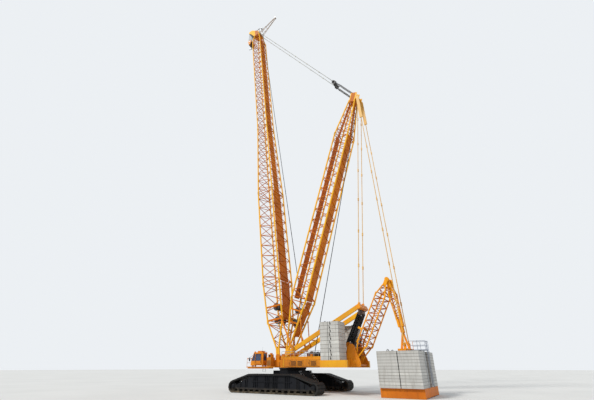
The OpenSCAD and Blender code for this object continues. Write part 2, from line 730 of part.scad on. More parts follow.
// The back-stops' pin on the rear chords
backstop_s = 560;
backstop_chord = between(boom_foot_m, boom_foot_b, (backstop_s - foot_kink) / (foot_end - foot_kink));
backstop_top = on_boom(-backstop_chord[2], 0, backstop_s);
backstop_w = 214;
backstop_in = backstop_w - 16;
module boom_foot() {
    color(orange) {
        in_boom() {
            foot_lug(boom_foot_w, boom_lug_t);
            lattice(boom_foot_a, boom_foot_m, 3);
            lattice(boom_foot_m, boom_foot_b, 4);
            for (z = boom_winch_z) winch_brackets(boom_foot_m, boom_foot_b, z, boom_winch_w);
            walkway(boom_foot_m, boom_foot_b, -boom_foot_w + 14, boom_foot_w - 14);
        }
        both() drum(backstop_top[0], backstop_top[2], backstop_chord[1] - 4, backstop_in - seat, 15);
    }
}

// A boom section with its walkway
module section(a, b, bays, chord = chord_r, stop = [walk_stop, walk_stop]) {
    lattice(a, b, bays, chord);
    w = min(a[1], b[1]);
    walkway(a, b, -walk_right * w, min(walk_left * w, w - chord - 5), -1, stop);
}

module boom_lower() {
    color(orange) in_boom() section([foot_end, boom_w, boom_d], [low_end, boom_w, boom_d], 18);
}

module boom_middle() {
    color(orange) in_boom() section([low_end, boom_w, boom_d], [mid_end, boom_up_w, boom_up_d], 18);
}

module boom_upper() {
    color(orange) in_boom() section([mid_end, boom_up_w, boom_up_d], [up_end, boom_up_w, boom_up_d], 32, chord_r - 2);
}

// Boom head: a tapered lattice, then two cheeks that carry the sheaves in front of it
head_w = 92;
head_d = 72;
sheave_x = 210;
sheave_z = boom_len + 280;
cheek_t = 12;
module boom_cheek() {
    rotate([90, 0, 0]) linear_extrude(cheek_t) difference() {
        polygon([[-head_d - 10, boom_len - 30], [head_d + 10, boom_len - 30], [sheave_x, sheave_z - 70],
            [sheave_x + 58, sheave_z - 20], [sheave_x + 30, sheave_z + 50], [sheave_x - 60, sheave_z + 40],
            [-head_d - 10, boom_len + 90]]);
    }
}

stay_pin_x = -80;
stay_pin_z = boom_len + 24;
stay_w = 100;
module boom_head() {
    color(orange) in_boom() {
        lattice([up_end, boom_up_w, boom_up_d], [boom_len, head_w, head_d], 3, chord_r - 2);
        for (s = [-1, 1]) translate([0, s * (head_w - 6) + cheek_t / 2, 0]) boom_cheek();
        slab(-head_d - 10, head_d, -head_w, head_w, boom_len - 20, boom_len);
        both() drum(stay_pin_x, stay_pin_z, head_w - 12, stay_w + 12, 9);
        slab(-head_d - 10, 20, -head_w + 4, head_w - 4, boom_len + 60, boom_len + 72);
    }
}

module boom_sheaves() {
    color(steel) in_boom() {
        gap = 2 * (head_w - 14) / sheave_n;
        for (i = [0 : sheave_n - 1]) drum(sheave_x, sheave_z, -head_w + 14 + i * gap + 2, -head_w + 14 + (i + 1) * gap - 2, sheave_r);
        drum(sheave_x, sheave_z, -head_w + 12 + seat, head_w - 12 - seat, 12);
    }
}

// Light rope-guide arm that points up and back from the head
arm_tip = [-620, boom_len + 355];
module tip_arm() {
    root = [-head_d - 14, boom_len + 58];
    color("lightgrey") in_boom() {
    slab(-head_d - 16 - seat, -head_d - 10 - seat, -68, 68, boom_len - 24, boom_len + 66);
    for (s = [-1, 1]) {
        rod([root[0], s * 60, root[1]], [arm_tip[0], s * 12, arm_tip[1]], 5, 6);
        rod([root[0], s * 60, root[1] - 76], [arm_tip[0], s * 12, arm_tip[1] - 12], 5, 6);
        for (i = [0 : 5]) {
            a = between([root[0], s * 60, root[1]], [arm_tip[0], s * 12, arm_tip[1]], (i + 0.2) / 6);
            b = between([root[0], s * 60, root[1] - 76], [arm_tip[0], s * 12, arm_tip[1] - 12], (i + 0.9) / 6);
            rod(a, b, 3, 6);
            rod(a, [a[0], -a[1], a[2]], 3, 6);
        }
    }
    }
}

// Back-stops: struts from the boom's rear chords down to seats on the main frame
backstop_foot = [-152, backstop_w, 506];
module boom_backstops() {
    top = backstop_top + [0, backstop_w, 0];
    color(orange) both() {
        rod(top, between(backstop_foot, top, 0.06), 12, 12);
        rod(between(backstop_foot, top, 0.5), between(backstop_foot, top, 0.06), 15, 12);
        drum(top[0], top[2], backstop_in, backstop_w + 12, 15);
        slab(backstop_foot[0] - 18, backstop_foot[0] + 18, backstop_w - 15, backstop_w + 15, backstop_foot[2] - 10, backstop_foot[2] + 12);
    }
}

module winch_in_boom(z, w, r) {
    drum(0, z, -w, w, r);
    for (s = [-1, 1]) drum(0, z, s * (w - 4) - 4, s * (w - 4) + 4, r + 16);
}

// Brackets that carry a winch between a lattice's side chords
module winch_brackets(a, b, z, w) {
    t = (z - a[0]) / (b[0] - a[0]);
    y = a[1] + (b[1] - a[1]) * t;
    d = a[2] + (b[2] - a[2]) * t;
    both() {
        slab(-d, d, y - 6, y + 6, z - 12, z + 12);
        slab(-18, 18, w + seat, y, z - 12, z + 12);
    }
}

module boom_winches() {
    color(steel) in_boom() {
        for (z = boom_winch_z) winch_in_boom(z, boom_winch_w, 44);
    }
}

// Hoist falls and hook block, plumb under the head sheaves
head_axle = on_boom(sheave_x, 0, sheave_z);
hook_z = head_axle[2] - fall_len;
block_sheave_r = sheave_r - 5;
module hoist_falls() {
    color(dark) for (s = [-1, 1], i = [0 : sheave_n - 1]) {
        y = (i - (sheave_n - 1) / 2) * 2 * (head_w - 14) / sheave_n;
        rod([head_axle[0] + s * (sheave_r + rope_r + 0.5), y, head_axle[2]],
            [head_axle[0] + s * (block_sheave_r + rope_r + 0.5), y, hook_z], rope_r, 6);
    }
}

module hook_block() {
    x = head_axle[0];
    color(orange) {
        for (s = [-1, 1]) {
            drum(x, hook_z, s * 84 - 5, s * 84 + 5, block_sheave_r + 10);
            slab(x - 30, x + 30, s * 84 - 5, s * 84 + 5, hook_z - 110, hook_z);
        }
        slab(x - 30, x + 30, -84, 84, hook_z - 118, hook_z - 96);
    }
    color(steel) for (i = [0 : sheave_n - 1]) {
        y = (i - (sheave_n - 1) / 2) * 2 * (head_w - 14) / sheave_n;
        drum(x, hook_z, y - 8, y + 8, block_sheave_r);
    }
    color(steel) drum(x, hook_z, -80, 80, 12);
}

// Double hook with a cross bore in its shank
hook_bore_r = 8;
module load_hook() {
    x = head_axle[0];
    top = hook_z - 118 - seat;
    bore_z = top - 84;
    color(steel) difference() {
        union() {
            translate([x, 0, bore_z]) cylinder(h = 84, r = 14);
            drum(x, bore_z, -13, 13, 26);
            for (s = [-1, 1]) translate([x + s * 38, 0, bore_z]) rotate([90, 0, 0]) rotate_extrude(angle = 180, start = 180)
                translate([24, 0]) circle(r = 9, $fn = 24);
        }
        drum(x, bore_z, -40, 40, hook_bore_r);
    }
}

// Half thickness of the eye at a bar's end
eye_t = stay_r + 1.2;

// Stays from the boom head to the luffing block, and falls from there to the derrick head
stay_top = on_boom(stay_pin_x, 0, stay_pin_z);
luff_pin = on_derrick(30, 0, derrick_len + 20);
stay_dir = (stay_top - luff_pin) / norm(stay_top - luff_pin);
block_at = luff_pin + stay_dir * luff_gap;
module boom_stays() {
    color("lightsteelblue") for (s = [-1, 1]) {
        y = [0, s * stay_w, 0];
        rod(stay_top + y - stay_dir * 16, block_at + y + stay_dir * (39 + seat), stay_r, 8);
        drum(stay_top[0], stay_top[2], s * stay_w - eye_t, s * stay_w + eye_t, 18, 9 + pin_gap);
    }
}

// Radius of the luffing block's sheaves, and how far its own run of rope reaches back from them
luff_block_r = 34;
luff_run = 122;
falls_n = 6;
falls_pitch = 22;
falls_side = [-stay_dir[2], 0, stay_dir[0]];
module luffing_block() {
    color(dark) for (s = [-1, 1], i = [0 : falls_n - 2]) {
        y = [0, (i - (falls_n - 2) / 2) * falls_pitch, 0];
        d = falls_side * s * (luff_block_r + rope_r / 2);
        rod(block_at + d + y, block_at + d + y - stay_dir * luff_run, rope_r, 6);
    }
    color(dark) {
        for (s = [-1, 1]) bar(block_at - stay_dir * 46 + [0, s * 80, 0], block_at + stay_dir * 40 + [0, s * 80, 0], 10, 80);
        bar(block_at + stay_dir * 20, block_at + stay_dir * 39, 2 * stay_w + 20, 40);
        drum(block_at[0], block_at[2], -74, 74, luff_block_r);
    }
}

module luffing_falls() {
    color(dark) for (s = [-1, 1], i = [0 : falls_n - 1]) {
        y = [0, (i - (falls_n - 1) / 2) * falls_pitch, 0];
        d = falls_side * s * (luff_sheave_r + rope_r + seat);
        rod(luff_pin + d + y, block_at + d + y - stay_dir * luff_run, rope_r, 6);
    }
}

// Derrick boom, built along +Z from its foot pin
derrick_foot_end = 860;
derrick_mid_end = 3950;
module in_derrick() {
    translate([derrick_foot_x, 0, boom_foot_z]) rotate([0, rot_derrick, 0]) children();
}

derrick_winch_z = [500, 690];
derrick_winch_w = 74;
derrick_foot_a = [104, derrick_foot_w, foot_half_d];
derrick_foot_b = [derrick_foot_end, derrick_w, derrick_d];
module derrick_foot() {
    color(orange) in_derrick() {
        foot_lug(derrick_foot_w, derrick_lug_t);
        lattice(derrick_foot_a, derrick_foot_b, 5);
        walkway([300, 0, foot_half_d + (derrick_d - foot_half_d) * 196 / 756], derrick_foot_b, -derrick_foot_w + 4, derrick_foot_w - 4);
        for (z = derrick_winch_z) winch_brackets(derrick_foot_a, derrick_foot_b, z, derrick_winch_w);
    }
}

// A derrick section: a walkway on its rear face and a narrower plate on its front face
module derrick_section(a, b, bays, stop = [walk_stop, walk_stop]) {
    section(a, b, bays, chord_r, stop);
    w = min(a[1], b[1]);
    walkway(a, b, -walk_right * w, walk_right * w, 1, stop);
}

module derrick_middle() {
    color(orange) in_derrick()
        derrick_section([derrick_foot_end, derrick_w, derrick_d], [derrick_mid_end, derrick_w, derrick_d], 30);
}

derrick_head_w = 66;
luff_sheave_r = 36;
derrick_head_d = 60;
derrick_pin_x = -120;
derrick_pin_z = derrick_len - 70;
module derrick_head() {
    color(orange) in_derrick() {
        derrick_section([derrick_mid_end, derrick_w, derrick_d], [derrick_len - 120, derrick_head_w, derrick_head_d], 9,
            [walk_stop, connector_len + 6]);
        for (s = [-1, 1]) {
            slab(-derrick_head_d - 6, derrick_head_d, s * derrick_head_w - 7, s * derrick_head_w + 7,
                derrick_len - 150, derrick_len + 60);
            slab(derrick_pin_x - 20, -derrick_head_d, s * derrick_head_w - 7, s * derrick_head_w + 7,
                derrick_pin_z - 20, derrick_pin_z + 60);
        }
        slab(-derrick_head_d, derrick_head_d, -derrick_head_w, derrick_head_w, derrick_len - 140, derrick_len - 124);
        drum(derrick_pin_x, derrick_pin_z, -pendant_low_w - 14, pendant_low_w + 14, 12);
    }
    color(steel) in_derrick() drum(30, derrick_len + 20, -derrick_head_w, derrick_head_w, luff_sheave_r);
}

module derrick_winch() {
    color(steel) in_derrick() {
        for (z = derrick_winch_z) winch_in_boom(z, derrick_winch_w, 40);
    }
}

// A-frame, on the derrick's foot axis
aframe_foot = [derrick_foot_x, 0, boom_foot_z];
aframe_dir = [cos(aframe_deg), 0, sin(aframe_deg)];
aframe_top = aframe_foot + aframe_dir * aframe_len;
module aframe_legs() {
    color(orange) both() {
        difference() {
            union() {
                drum(aframe_foot[0], aframe_foot[2], aframe_w - aframe_lug_t / 2, aframe_w + aframe_lug_t / 2, 30);
                bar(aframe_foot + [0, aframe_w, 0], aframe_foot + aframe_dir * 60 + [0, aframe_w, 0], aframe_lug_t - 2, 40);
                bar(aframe_foot + aframe_dir * 50 + [0, aframe_w, 0], aframe_top + [0, aframe_w, 0] - aframe_dir * 20, aleg_w, aleg_h);
            }
            drum(aframe_foot[0], aframe_foot[2], aframe_w - 30, aframe_w + 30, foot_pin_r + pin_gap);
        }
    }
    color(orange) for (t = [0.35, 0.7]) {
        p = between(aframe_foot, aframe_top, t);
        rod(p + [0, -aframe_w, 0], p + [0, aframe_w, 0], 9);
    }
}

module aframe_head() {
    color(orange) {
        bar(aframe_top - aframe_dir * (20 - seat), aframe_top + aframe_dir * 40, 2 * aframe_w + aleg_w, 60);
        both() {
            slab(aframe_top[0] - 16, aframe_top[0] + 16, pendant_w - 18, pendant_w - 8, aframe_top[2], aframe_top[2] + pendant_rise + 16);
            drum(aframe_top[0], aframe_top[2] + pendant_rise, pendant_w - 12, pendant_w + 10, 8);
        }
    }
    color(steel) drum(aframe_top[0] + 6, aframe_top[2] - 70, -61, 61, 34);
    color(orange) for (s = [-1, 1]) slab(aframe_top[0] - 20, aframe_top[0] + 30, s * 66 - 5, s * 66 + 5,
        aframe_top[2] - 84, aframe_top[2] - 10);
}

// Bars from the A-frame's head up to the derrick head
pendant_w = 90;
pendant_rise = 58;
module aframe_pendants() {
    low = aframe_top + [0, pendant_w, pendant_rise];
    high = on_derrick(derrick_pin_x, pendant_w, derrick_pin_z);
    v = (high - low) / norm(high - low);
    color([0.9, 0.8, 0.5]) both() {
        rod(low + v * 12, high - v * 16, stay_r, 8);
        drum(low[0], low[2], pendant_w - eye_t, pendant_w + eye_t, 16, 8 + pin_gap);
        drum(high[0], high[2], pendant_w - eye_t, pendant_w + eye_t, 20, 12 + pin_gap);
    }
}

// Struts between the derrick and the A-frame
module derrick_struts() {
    s1 = 560;
    t1 = (s1 - derrick_foot_a[0]) / (derrick_foot_end - derrick_foot_a[0]);
    y = 118;
    a = on_derrick(-(foot_half_d + (derrick_d - foot_half_d) * t1) - chord_r - 14, y, s1);
    b = aframe_foot + aframe_dir * 340 + [0, y, 0];
    color(orange) both() {
        rod(a, b, 8);
        drum(a[0], a[2], y - 10, y + 10, 12);
        drum(b[0], b[2], y - 10, aframe_w - aleg_w / 2 - seat, 14);
    }
}

// Falls from the A-frame's head down to the sheaves at the rear of the main frame
falls_low = [luff_x, 0, luff_z];
falls_high = aframe_top + [6, 0, -70];
module aframe_falls() {
    v = (falls_high - falls_low) / norm(falls_high - falls_low);
    side = [v[2], 0, -v[0]];
    color(dark) for (s = [-1, 1], i = [0 : 5]) {
        y = [0, (i - 2.5) * 20, 0];
        rod(falls_high + side * s * (34 + rope_r + 1 + seat) + y, falls_low + side * s * 42 + y + v * 6, rope_r + 1, 6);
    }
}

// Ballast guide frame
knee = vfoot + [cos(vin_deg), 0, sin(vin_deg)] * vin_len;
toe = knee + [-sin(vout_deg), 0, -cos(vout_deg)] * vout_len;
knee_pin_r = 14;
module guide_inner_leg() {
    color(orange) translate(vfoot) rotate([0, 90 - vin_deg, 0]) {
        for (s = [-1, 1]) {
            y = s * (vin_w - 16);
            difference() {
                union() {
                    drum(0, 0, y - vlug_t / 2, y + vlug_t / 2, 26);
                    slab(-24, 24, y - vlug_t / 2, y + vlug_t / 2, 0, 80);
                }
                drum(0, 0, y - vlug_t, y + vlug_t, 12 + pin_gap);
            }
            drum(0, vin_len, s * (vin_w - 24) - 9, s * (vin_w - 24) + 9, 30);
            slab(-24, 24, s * (vin_w - 24) - 9, s * (vin_w - 24) + 9, vin_len - 90, vin_len);
        }
        drum(0, vin_len, -vin_w + 24, vin_w - 24, knee_pin_r);
        // Lugs and pin of the cylinders, out in front of the upper chords
        for (s = [-1, 1]) slab(vin_d - 6, cyl_out + 12, s * (vin_w - 9) - 5, s * (vin_w - 9) + 5, cyl_along - 14, cyl_along + 14);
        both() drum(cyl_out, cyl_along, cyl_y - 12, vin_w - 9, 8);
        lattice([70, vin_w - 16, 14], [260, vin_w - 9, vin_d], 2, 10, 5.5);
        lattice([250, vin_w - 9, vin_d], [vin_len - 240, vin_w - 9, vin_d], 12, 10, 5.5);
        lattice([vin_len - 250, vin_w - 9, vin_d], [vin_len - 70, vin_w - 24, 14], 2, 10, 5.5);
    }
}

module guide_outer_leg() {
    color(orange) translate(knee) rotate([0, 180 + vout_deg, 0]) {
        for (s = [-1, 1]) {
            y = s * (vout_w - 10);
            difference() {
                union() {
                    drum(0, 0, y - 9, y + 9, 28);
                    slab(-24, 24, y - 9, y + 9, 0, 80);
                }
                drum(0, 0, y - 12, y + 12, knee_pin_r + pin_gap);
            }
        }
        lattice([70, vout_w - 10, 14], [220, vout_w - 14, 40], 1, 9, 5);
        lattice([210, vout_w - 14, 40], [vout_len - 150, 34, 30], 5, 9, 5);
        slab(-36, 36, -42, 42, vout_len - 160, vout_len - 60);
        for (s = [-1, 1]) {
            slab(-20, 20, s * 30 - 8, s * 30 + 8, vout_len - 61, vout_len);
            drum(0, vout_len, s * 30 - 8, s * 30 + 8, 22);
        }
        drum(0, vout_len, -30, 30, 11);
    }
}

// Two cylinders that hold the inner leg
cyl_y = 84;
cyl_foot = [-1022, cyl_y, 500];
cyl_along = 420;
cyl_out = vin_d + 50;
cyl_eye = vfoot + turned([cyl_out, cyl_y, cyl_along], 90 - vin_deg);
cyl_dir = (cyl_eye - cyl_foot) / norm(cyl_eye - cyl_foot);
cyl_r = 15;
rod_r = 8;
module cylinder_barrels() {
    color(dark) both() difference() {
        union() {
            rod(cyl_foot + cyl_dir * 26, cyl_foot + cyl_dir * 200, cyl_r, 32);
            rod(cyl_foot + cyl_dir * 9, cyl_foot + cyl_dir * 30, cyl_r - 7, 32);
            drum(cyl_foot[0], cyl_foot[2], cyl_y - 9, cyl_y + 9, 14);
        }
        rod(cyl_foot + cyl_dir * 38, cyl_foot + cyl_dir * 210, rod_r + 0.5, 32);
        drum(cyl_foot[0], cyl_foot[2], cyl_y - 12, cyl_y + 12, 7 + pin_gap);
    }
}

module cylinder_rods() {
    color("silver") both() rod(cyl_foot + cyl_dir * 60, cyl_eye - cyl_dir * 15, rod_r, 32);
}

// Pallet
pallet_x = toe[0];
pallet_top = pallet_h + pallet_n * pallet_t;
module pallet_frame() {
    color(orange) {
        for (s = [-1, 1]) slab(pallet_x - pallet_len / 2, pallet_x + pallet_len / 2, s * (pallet_w - 20) - 20, s * (pallet_w - 20) + 20, 0, pallet_h);
        for (s = [-1, 1]) slab(pallet_x - pallet_len / 2, pallet_x + pallet_len / 2, s * 120 - 20, s * 120 + 20, 6, pallet_h);
        for (x = [-1, 1]) slab(pallet_x + x * (pallet_len / 2 - 20) - 20, pallet_x + x * (pallet_len / 2 - 20) + 20, -pallet_w + 10, pallet_w - 10, 6, pallet_h);
        slab(pallet_x - 24, pallet_x + 24, -130, 130, 6, pallet_h);
    }
}

module pallet_plates() {
    color(plate_grey) for (x = [-1, 1], y = [-1, 1]) {
        x0 = x < 0 ? pallet_x - pallet_len / 2 + 4 : pallet_x + column_gap / 2;
        x1 = x < 0 ? pallet_x - column_gap / 2 : pallet_x + pallet_len / 2 - 4;
        y0 = y < 0 ? -ballast_w : 60;
        y1 = y < 0 ? -60 : ballast_w;
        stack(x0, x1, y0, y1, pallet_h + seat, pallet_n, pallet_t);
    }
}

// Yoke on the pallet, between the stacks, with the pins of the guide frame and the pendants
pendant_low_w = 122;
// Platform with railings on top of the stacks, and the ladder up to it at the rear
stage_w = 96;
module pallet_platform() {
    x0 = pallet_x - pallet_len / 2 - 24;
    x1 = pallet_x - 78;
    z = pallet_top + 20;
    slab(x0, x1, -stage_w, stage_w, z - 6, z);
    for (y = [-stage_w + 4, stage_w - 4]) {
        for (x = [x0 + 4, (x0 + x1) / 2, x1 - 6]) rod([x, y, z - 2], [x, y, z + rail_h], rail_r, 6);
        for (h = [0.5, 1]) rod([x0 + 2, y, z + rail_h * h - 3], [x1 - 4, y, z + rail_h * h - 3], rail_r, 6);
    }
    for (y = [-22, 22]) rod([x0 + 5, y, pallet_h + 20], [x0 + 5, y, z + rail_h], rail_r + 0.5, 6);
    for (i = [0 : 11]) rod([x0 + 5, -24, pallet_h + 34 + i * 32], [x0 + 5, 24, pallet_h + 34 + i * 32], rail_r, 6);
}
eye_at = [pallet_x - 30, 0, pallet_top + 90];
module pallet_yoke() {
    color(orange) difference() {
        union() {
            slab(pallet_x - 22, pallet_x + 22, -50, 50, pallet_h + seat, pallet_top + 2);
            slab(pallet_x - 80, pallet_x + 60, -140, 140, pallet_top + 1, pallet_top + 34);
            both() {
                slab(eye_at[0] - 18, eye_at[0] + 18, pendant_low_w - 18, pendant_low_w - 8, pallet_top + 30, eye_at[2] + 16);
                drum(eye_at[0], eye_at[2], pendant_low_w - 12, pendant_low_w + 12, 8);
            }
            for (x = [-60, 46]) bar([pallet_x + x, 0, pallet_top + 20], [toe[0], 0, toe[2]], 30, 22);
            pallet_platform();
            drum(toe[0], toe[2], -16, 16, 22);
        }
        drum(toe[0], toe[2], -20, 20, 11 + pin_gap);
    }
}

// Ballast pendants: thick upper links and long bars down to the pallet
pendant_high = on_derrick(derrick_pin_x, 0, derrick_pin_z);
pendant_dir = (eye_at - pendant_high) / norm(eye_at - pendant_high);
// Slack of the pendants' lower eyes on their pins
pendant_slack = 2.5;
module ballast_pendants() {
    a = pendant_high + [0, pendant_low_w, 0];
    b = eye_at + [0, pendant_low_w, 0];
    color([0.95, 0.75, 0.2]) both() {
        difference() {
            union() {
                bar(a, a + pendant_dir * link_len, 20, 54);
                drum(a[0], a[2], a[1] - 10, a[1] + 10, 27);
            }
            drum(a[0], a[2], a[1] - 20, a[1] + 20, 12 + pin_gap);
        }
        rod(a + pendant_dir * (link_len - 10), b - pendant_dir * 12, stay_r, 8);
        drum(b[0], b[2], b[1] - eye_t, b[1] + eye_t, 17, 8 + pendant_slack);
    }
}

translate([0, gauge / 2, 0]) track();  // track_left
translate([0, -gauge / 2, 0]) track();  // track_right
translate([0, gauge / 2, 0]) side_frame(1);  // side_frame_left
translate([0, -gauge / 2, 0]) side_frame(-1);  // side_frame_right
translate([0, gauge / 2, 0]) rollers();  // rollers_left
translate([0, -gauge / 2, 0]) rollers();  // rollers_right
car_body();
slew_ring();
access_ladders();
main_frame();
house(1);  // house_left
house(-1);  // house_right
engine_block();
handrails();
hoist_winches();
ballast_rail();
ballast_stack();  // ballast_left
mirror([0, 1, 0]) ballast_stack();  // ballast_right
guide_bracket();
luffing_base();
cab_platform();
service_pod();
cab_shell();
cab_glass();
cab_seat();
cab_door();
boom_foot();
boom_lower();
boom_middle();
boom_upper();
boom_head();
boom_sheaves();
tip_arm();
boom_backstops();
boom_winches();
hoist_falls();
hook_block();
load_hook();
boom_stays();
luffing_block();
luffing_falls();
derrick_foot();
derrick_middle();
derrick_head();
derrick_winch();
derrick_struts();
aframe_pendants();
aframe_legs();
aframe_head();
aframe_falls();
ballast_pendants();
guide_inner_leg();
guide_outer_leg();
cylinder_barrels();
cylinder_rods();
pallet_frame();
pallet_plates();
pallet_yoke();
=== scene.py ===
import math

import bmesh
import bpy
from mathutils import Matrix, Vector


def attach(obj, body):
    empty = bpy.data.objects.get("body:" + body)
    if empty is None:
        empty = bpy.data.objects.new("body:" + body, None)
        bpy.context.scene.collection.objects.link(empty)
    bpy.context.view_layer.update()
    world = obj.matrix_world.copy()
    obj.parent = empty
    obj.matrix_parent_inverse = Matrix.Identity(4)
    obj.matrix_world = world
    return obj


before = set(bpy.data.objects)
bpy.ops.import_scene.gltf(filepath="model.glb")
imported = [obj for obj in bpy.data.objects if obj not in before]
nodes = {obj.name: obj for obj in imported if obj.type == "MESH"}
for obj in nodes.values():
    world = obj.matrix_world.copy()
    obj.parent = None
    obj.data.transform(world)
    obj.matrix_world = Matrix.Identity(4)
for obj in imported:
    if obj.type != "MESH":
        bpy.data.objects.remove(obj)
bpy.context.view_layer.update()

# Camera at the photograph's place, on the ground behind and to the left of the crane
cam_data = bpy.data.cameras.new("camera")
cam = bpy.data.objects.new("camera", cam_data)
bpy.context.scene.collection.objects.link(cam)
bpy.context.scene.camera = cam
cam_data.sensor_width = 36.0
cam_data.lens = 19.7
cam_data.clip_end = 200.0
IMAGE_WIDTH = 594
cam_data.shift_x = -1.0 / IMAGE_WIDTH
CAM_AT = Vector((-2.896, 4.735, 0.3129))
CAM_PITCH = math.radians(27.29)
CAM_HEADING = Vector((0.5095, -0.8605, 0.0)).normalized()
look = CAM_HEADING * math.cos(CAM_PITCH) + Vector((0, 0, math.sin(CAM_PITCH)))
cam.location = CAM_AT
cam.rotation_euler = look.to_track_quat("-Z", "Y").to_euler()
bpy.context.scene.view_settings.view_transform = "Standard"

# Studio: pale world seen by the camera, softer light on the object
world = bpy.data.worlds.new("studio")
bpy.context.scene.world = world
world.use_nodes = True
wt = world.node_tree
for n in list(wt.nodes):
    wt.nodes.remove(n)
w_out = wt.nodes.new("ShaderNodeOutputWorld")
w_mix = wt.nodes.new("ShaderNodeMixShader")
w_light = wt.nodes.new("ShaderNodeBackground")
w_seen = wt.nodes.new("ShaderNodeBackground")
w_path = wt.nodes.new("ShaderNodeLightPath")
w_add = wt.nodes.new("ShaderNodeMath")
w_max = wt.nodes.new("ShaderNodeMath")
w_light.inputs["Color"].default_value = (0.9, 0.95, 1.0, 1)
w_light.inputs["Strength"].default_value = 0.62
w_seen.inputs["Color"].default_value = (0.84, 0.87, 0.9, 1)
w_seen.inputs["Strength"].default_value = 1.0
for m in (w_add, w_max):
    m.operation = "MAXIMUM"
wt.links.new(w_path.outputs["Is Camera Ray"], w_add.inputs[0])
wt.links.new(w_path.outputs["Is Glossy Ray"], w_add.inputs[1])
wt.links.new(w_add.outputs[0], w_max.inputs[0])
wt.links.new(w_path.outputs["Is Transmission Ray"], w_max.inputs[1])
wt.links.new(w_max.outputs[0], w_mix.inputs[0])
wt.links.new(w_light.outputs[0], w_mix.inputs[1])
wt.links.new(w_seen.outputs[0], w_mix.inputs[2])
wt.links.new(w_mix.outputs[0], w_out.inputs["Surface"])


def sun(name, direction, strength, angle, colour=(1, 1, 1)):
    data = bpy.data.lights.new(name, "SUN")
    data.energy = strength
    data.angle = math.radians(angle)
    data.color = colour
    lamp = bpy.data.objects.new(name, data)
    lamp.rotation_euler = Vector(direction).to_track_quat("-Z", "Y").to_euler()
    bpy.context.scene.collection.objects.link(lamp)


sun("key", (-0.35, -0.75, -0.8), 2.3, 12, (1.0, 0.97, 0.92))
sun("fill", (0.8, -0.3, -0.3), 0.45, 40, (0.92, 0.96, 1.0))


def srgb(r, g, b):
    """Linear colour from 0-255 display values."""
    linear = [((c / 255 + 0.055) / 1.055) ** 2.4 if c > 10 else c / 255 / 12.92 for c in (r, g, b)]
    return (*linear, 1.0)


class Shader:
    """A Principled material with short ways to add nodes."""

    def __init__(self, name):
        self.mat = bpy.data.materials.new(name)
        self.mat.use_nodes = True
        self.tree = self.mat.node_tree
        self.bsdf = self.tree.nodes["Principled BSDF"]
        self.coord = self.tree.nodes.new("ShaderNodeTexCoord").outputs["Object"]

    def link(self, a, b):
        self.tree.links.new(a, b)

    def noise(self, scale, detail=4, stretch=None):
        n = self.tree.nodes.new("ShaderNodeTexNoise")
        n.inputs["Scale"].default_value = scale
        n.inputs["Detail"].default_value = detail
        place = self.coord
        if stretch:
            squeeze = self.tree.nodes.new("ShaderNodeMapping")
            squeeze.inputs["Scale"].default_value = stretch
            self.link(self.coord, squeeze.inputs["Vector"])
            place = squeeze.outputs["Vector"]
        self.link(place, n.inputs["Vector"])
        return n.outputs["Fac"]

    def level(self, value, lo, hi, out_lo=0.0, out_hi=1.0):
        n = self.tree.nodes.new("ShaderNodeMapRange")
        for key, v in (("From Min", lo), ("From Max", hi), ("To Min", out_lo), ("To Max", out_hi)):
            n.inputs[key].default_value = v
        self.link(value, n.inputs["Value"])
        return n.outputs["Result"]

    def math(self, op, a, b=None):
        n = self.tree.nodes.new("ShaderNodeMath")
        n.operation = op
        for i, v in enumerate((a, b)):
            if isinstance(v, (int, float)):
                n.inputs[i].default_value = v
            elif v is not None:
                self.link(v, n.inputs[i])
        return n.outputs[0]

    def mix(self, factor, a, b):
        n = self.tree.nodes.new("ShaderNodeMix")
        n.data_type = "RGBA"
        self.link(factor, n.inputs["Factor"])
        for key, v in (("A", a), ("B", b)):
            if isinstance(v, tuple):
                n.inputs[key].default_value = v
            else:
                self.link(v, n.inputs[key])
        return n.outputs["Result"]

    def two_tone(self, value, dark, base, amount):
        n = self.tree.nodes.new("ShaderNodeValToRGB")
        n.color_ramp.elements[0].position = 0.5 - amount / 2
        n.color_ramp.elements[0].color = dark
        n.color_ramp.elements[1].position = 0.5 + amount / 4
        n.color_ramp.elements[1].color = base
        self.link(value, n.inputs["Fac"])
        return n.outputs["Color"]

    def place(self, axis):
        n = self.tree.nodes.new("ShaderNodeSeparateXYZ")
        self.link(self.coord, n.inputs[0])
        return n.outputs[axis]

    def chord_highlight_mask(self, x0, z0, deg, stations):
        """1 on the corners of a boom's cross section, where the chord tubes get a painted highlight, 0
        elsewhere.

        stations is a list of (along, half width, half depth), out to the outside of the chord tubes.
        """
        chord = 0.018
        c, n = math.cos(math.radians(deg)), math.sin(math.radians(deg))
        x = self.math("SUBTRACT", self.place(0), x0)
        z = self.math("SUBTRACT", self.place(2), z0)
        along = self.math("ADD", self.math("MULTIPLY", x, n), self.math("MULTIPLY", z, c))
        across = self.math("SUBTRACT", self.math("MULTIPLY", x, c), self.math("MULTIPLY", z, n))
        inside = []
        for k, offset in ((1, self.place(1)), (2, across)):
            half = stations[0][k] - chord
            for a, b in zip(stations, stations[1:]):
                half = self.math("ADD", self.level(along, a[0], b[0], 0, b[k] - a[k]), half)
            inside.append(self.math("GREATER_THAN", self.math("ABSOLUTE", offset), half))
        return self.math("MULTIPLY", *inside)

    def bump(self, height, strength, distance):
        n = self.tree.nodes.new("ShaderNodeBump")
        n.inputs["Strength"].default_value = strength
        n.inputs["Distance"].default_value = distance
        self.link(height, n.inputs["Height"])
        return n.outputs["Normal"]


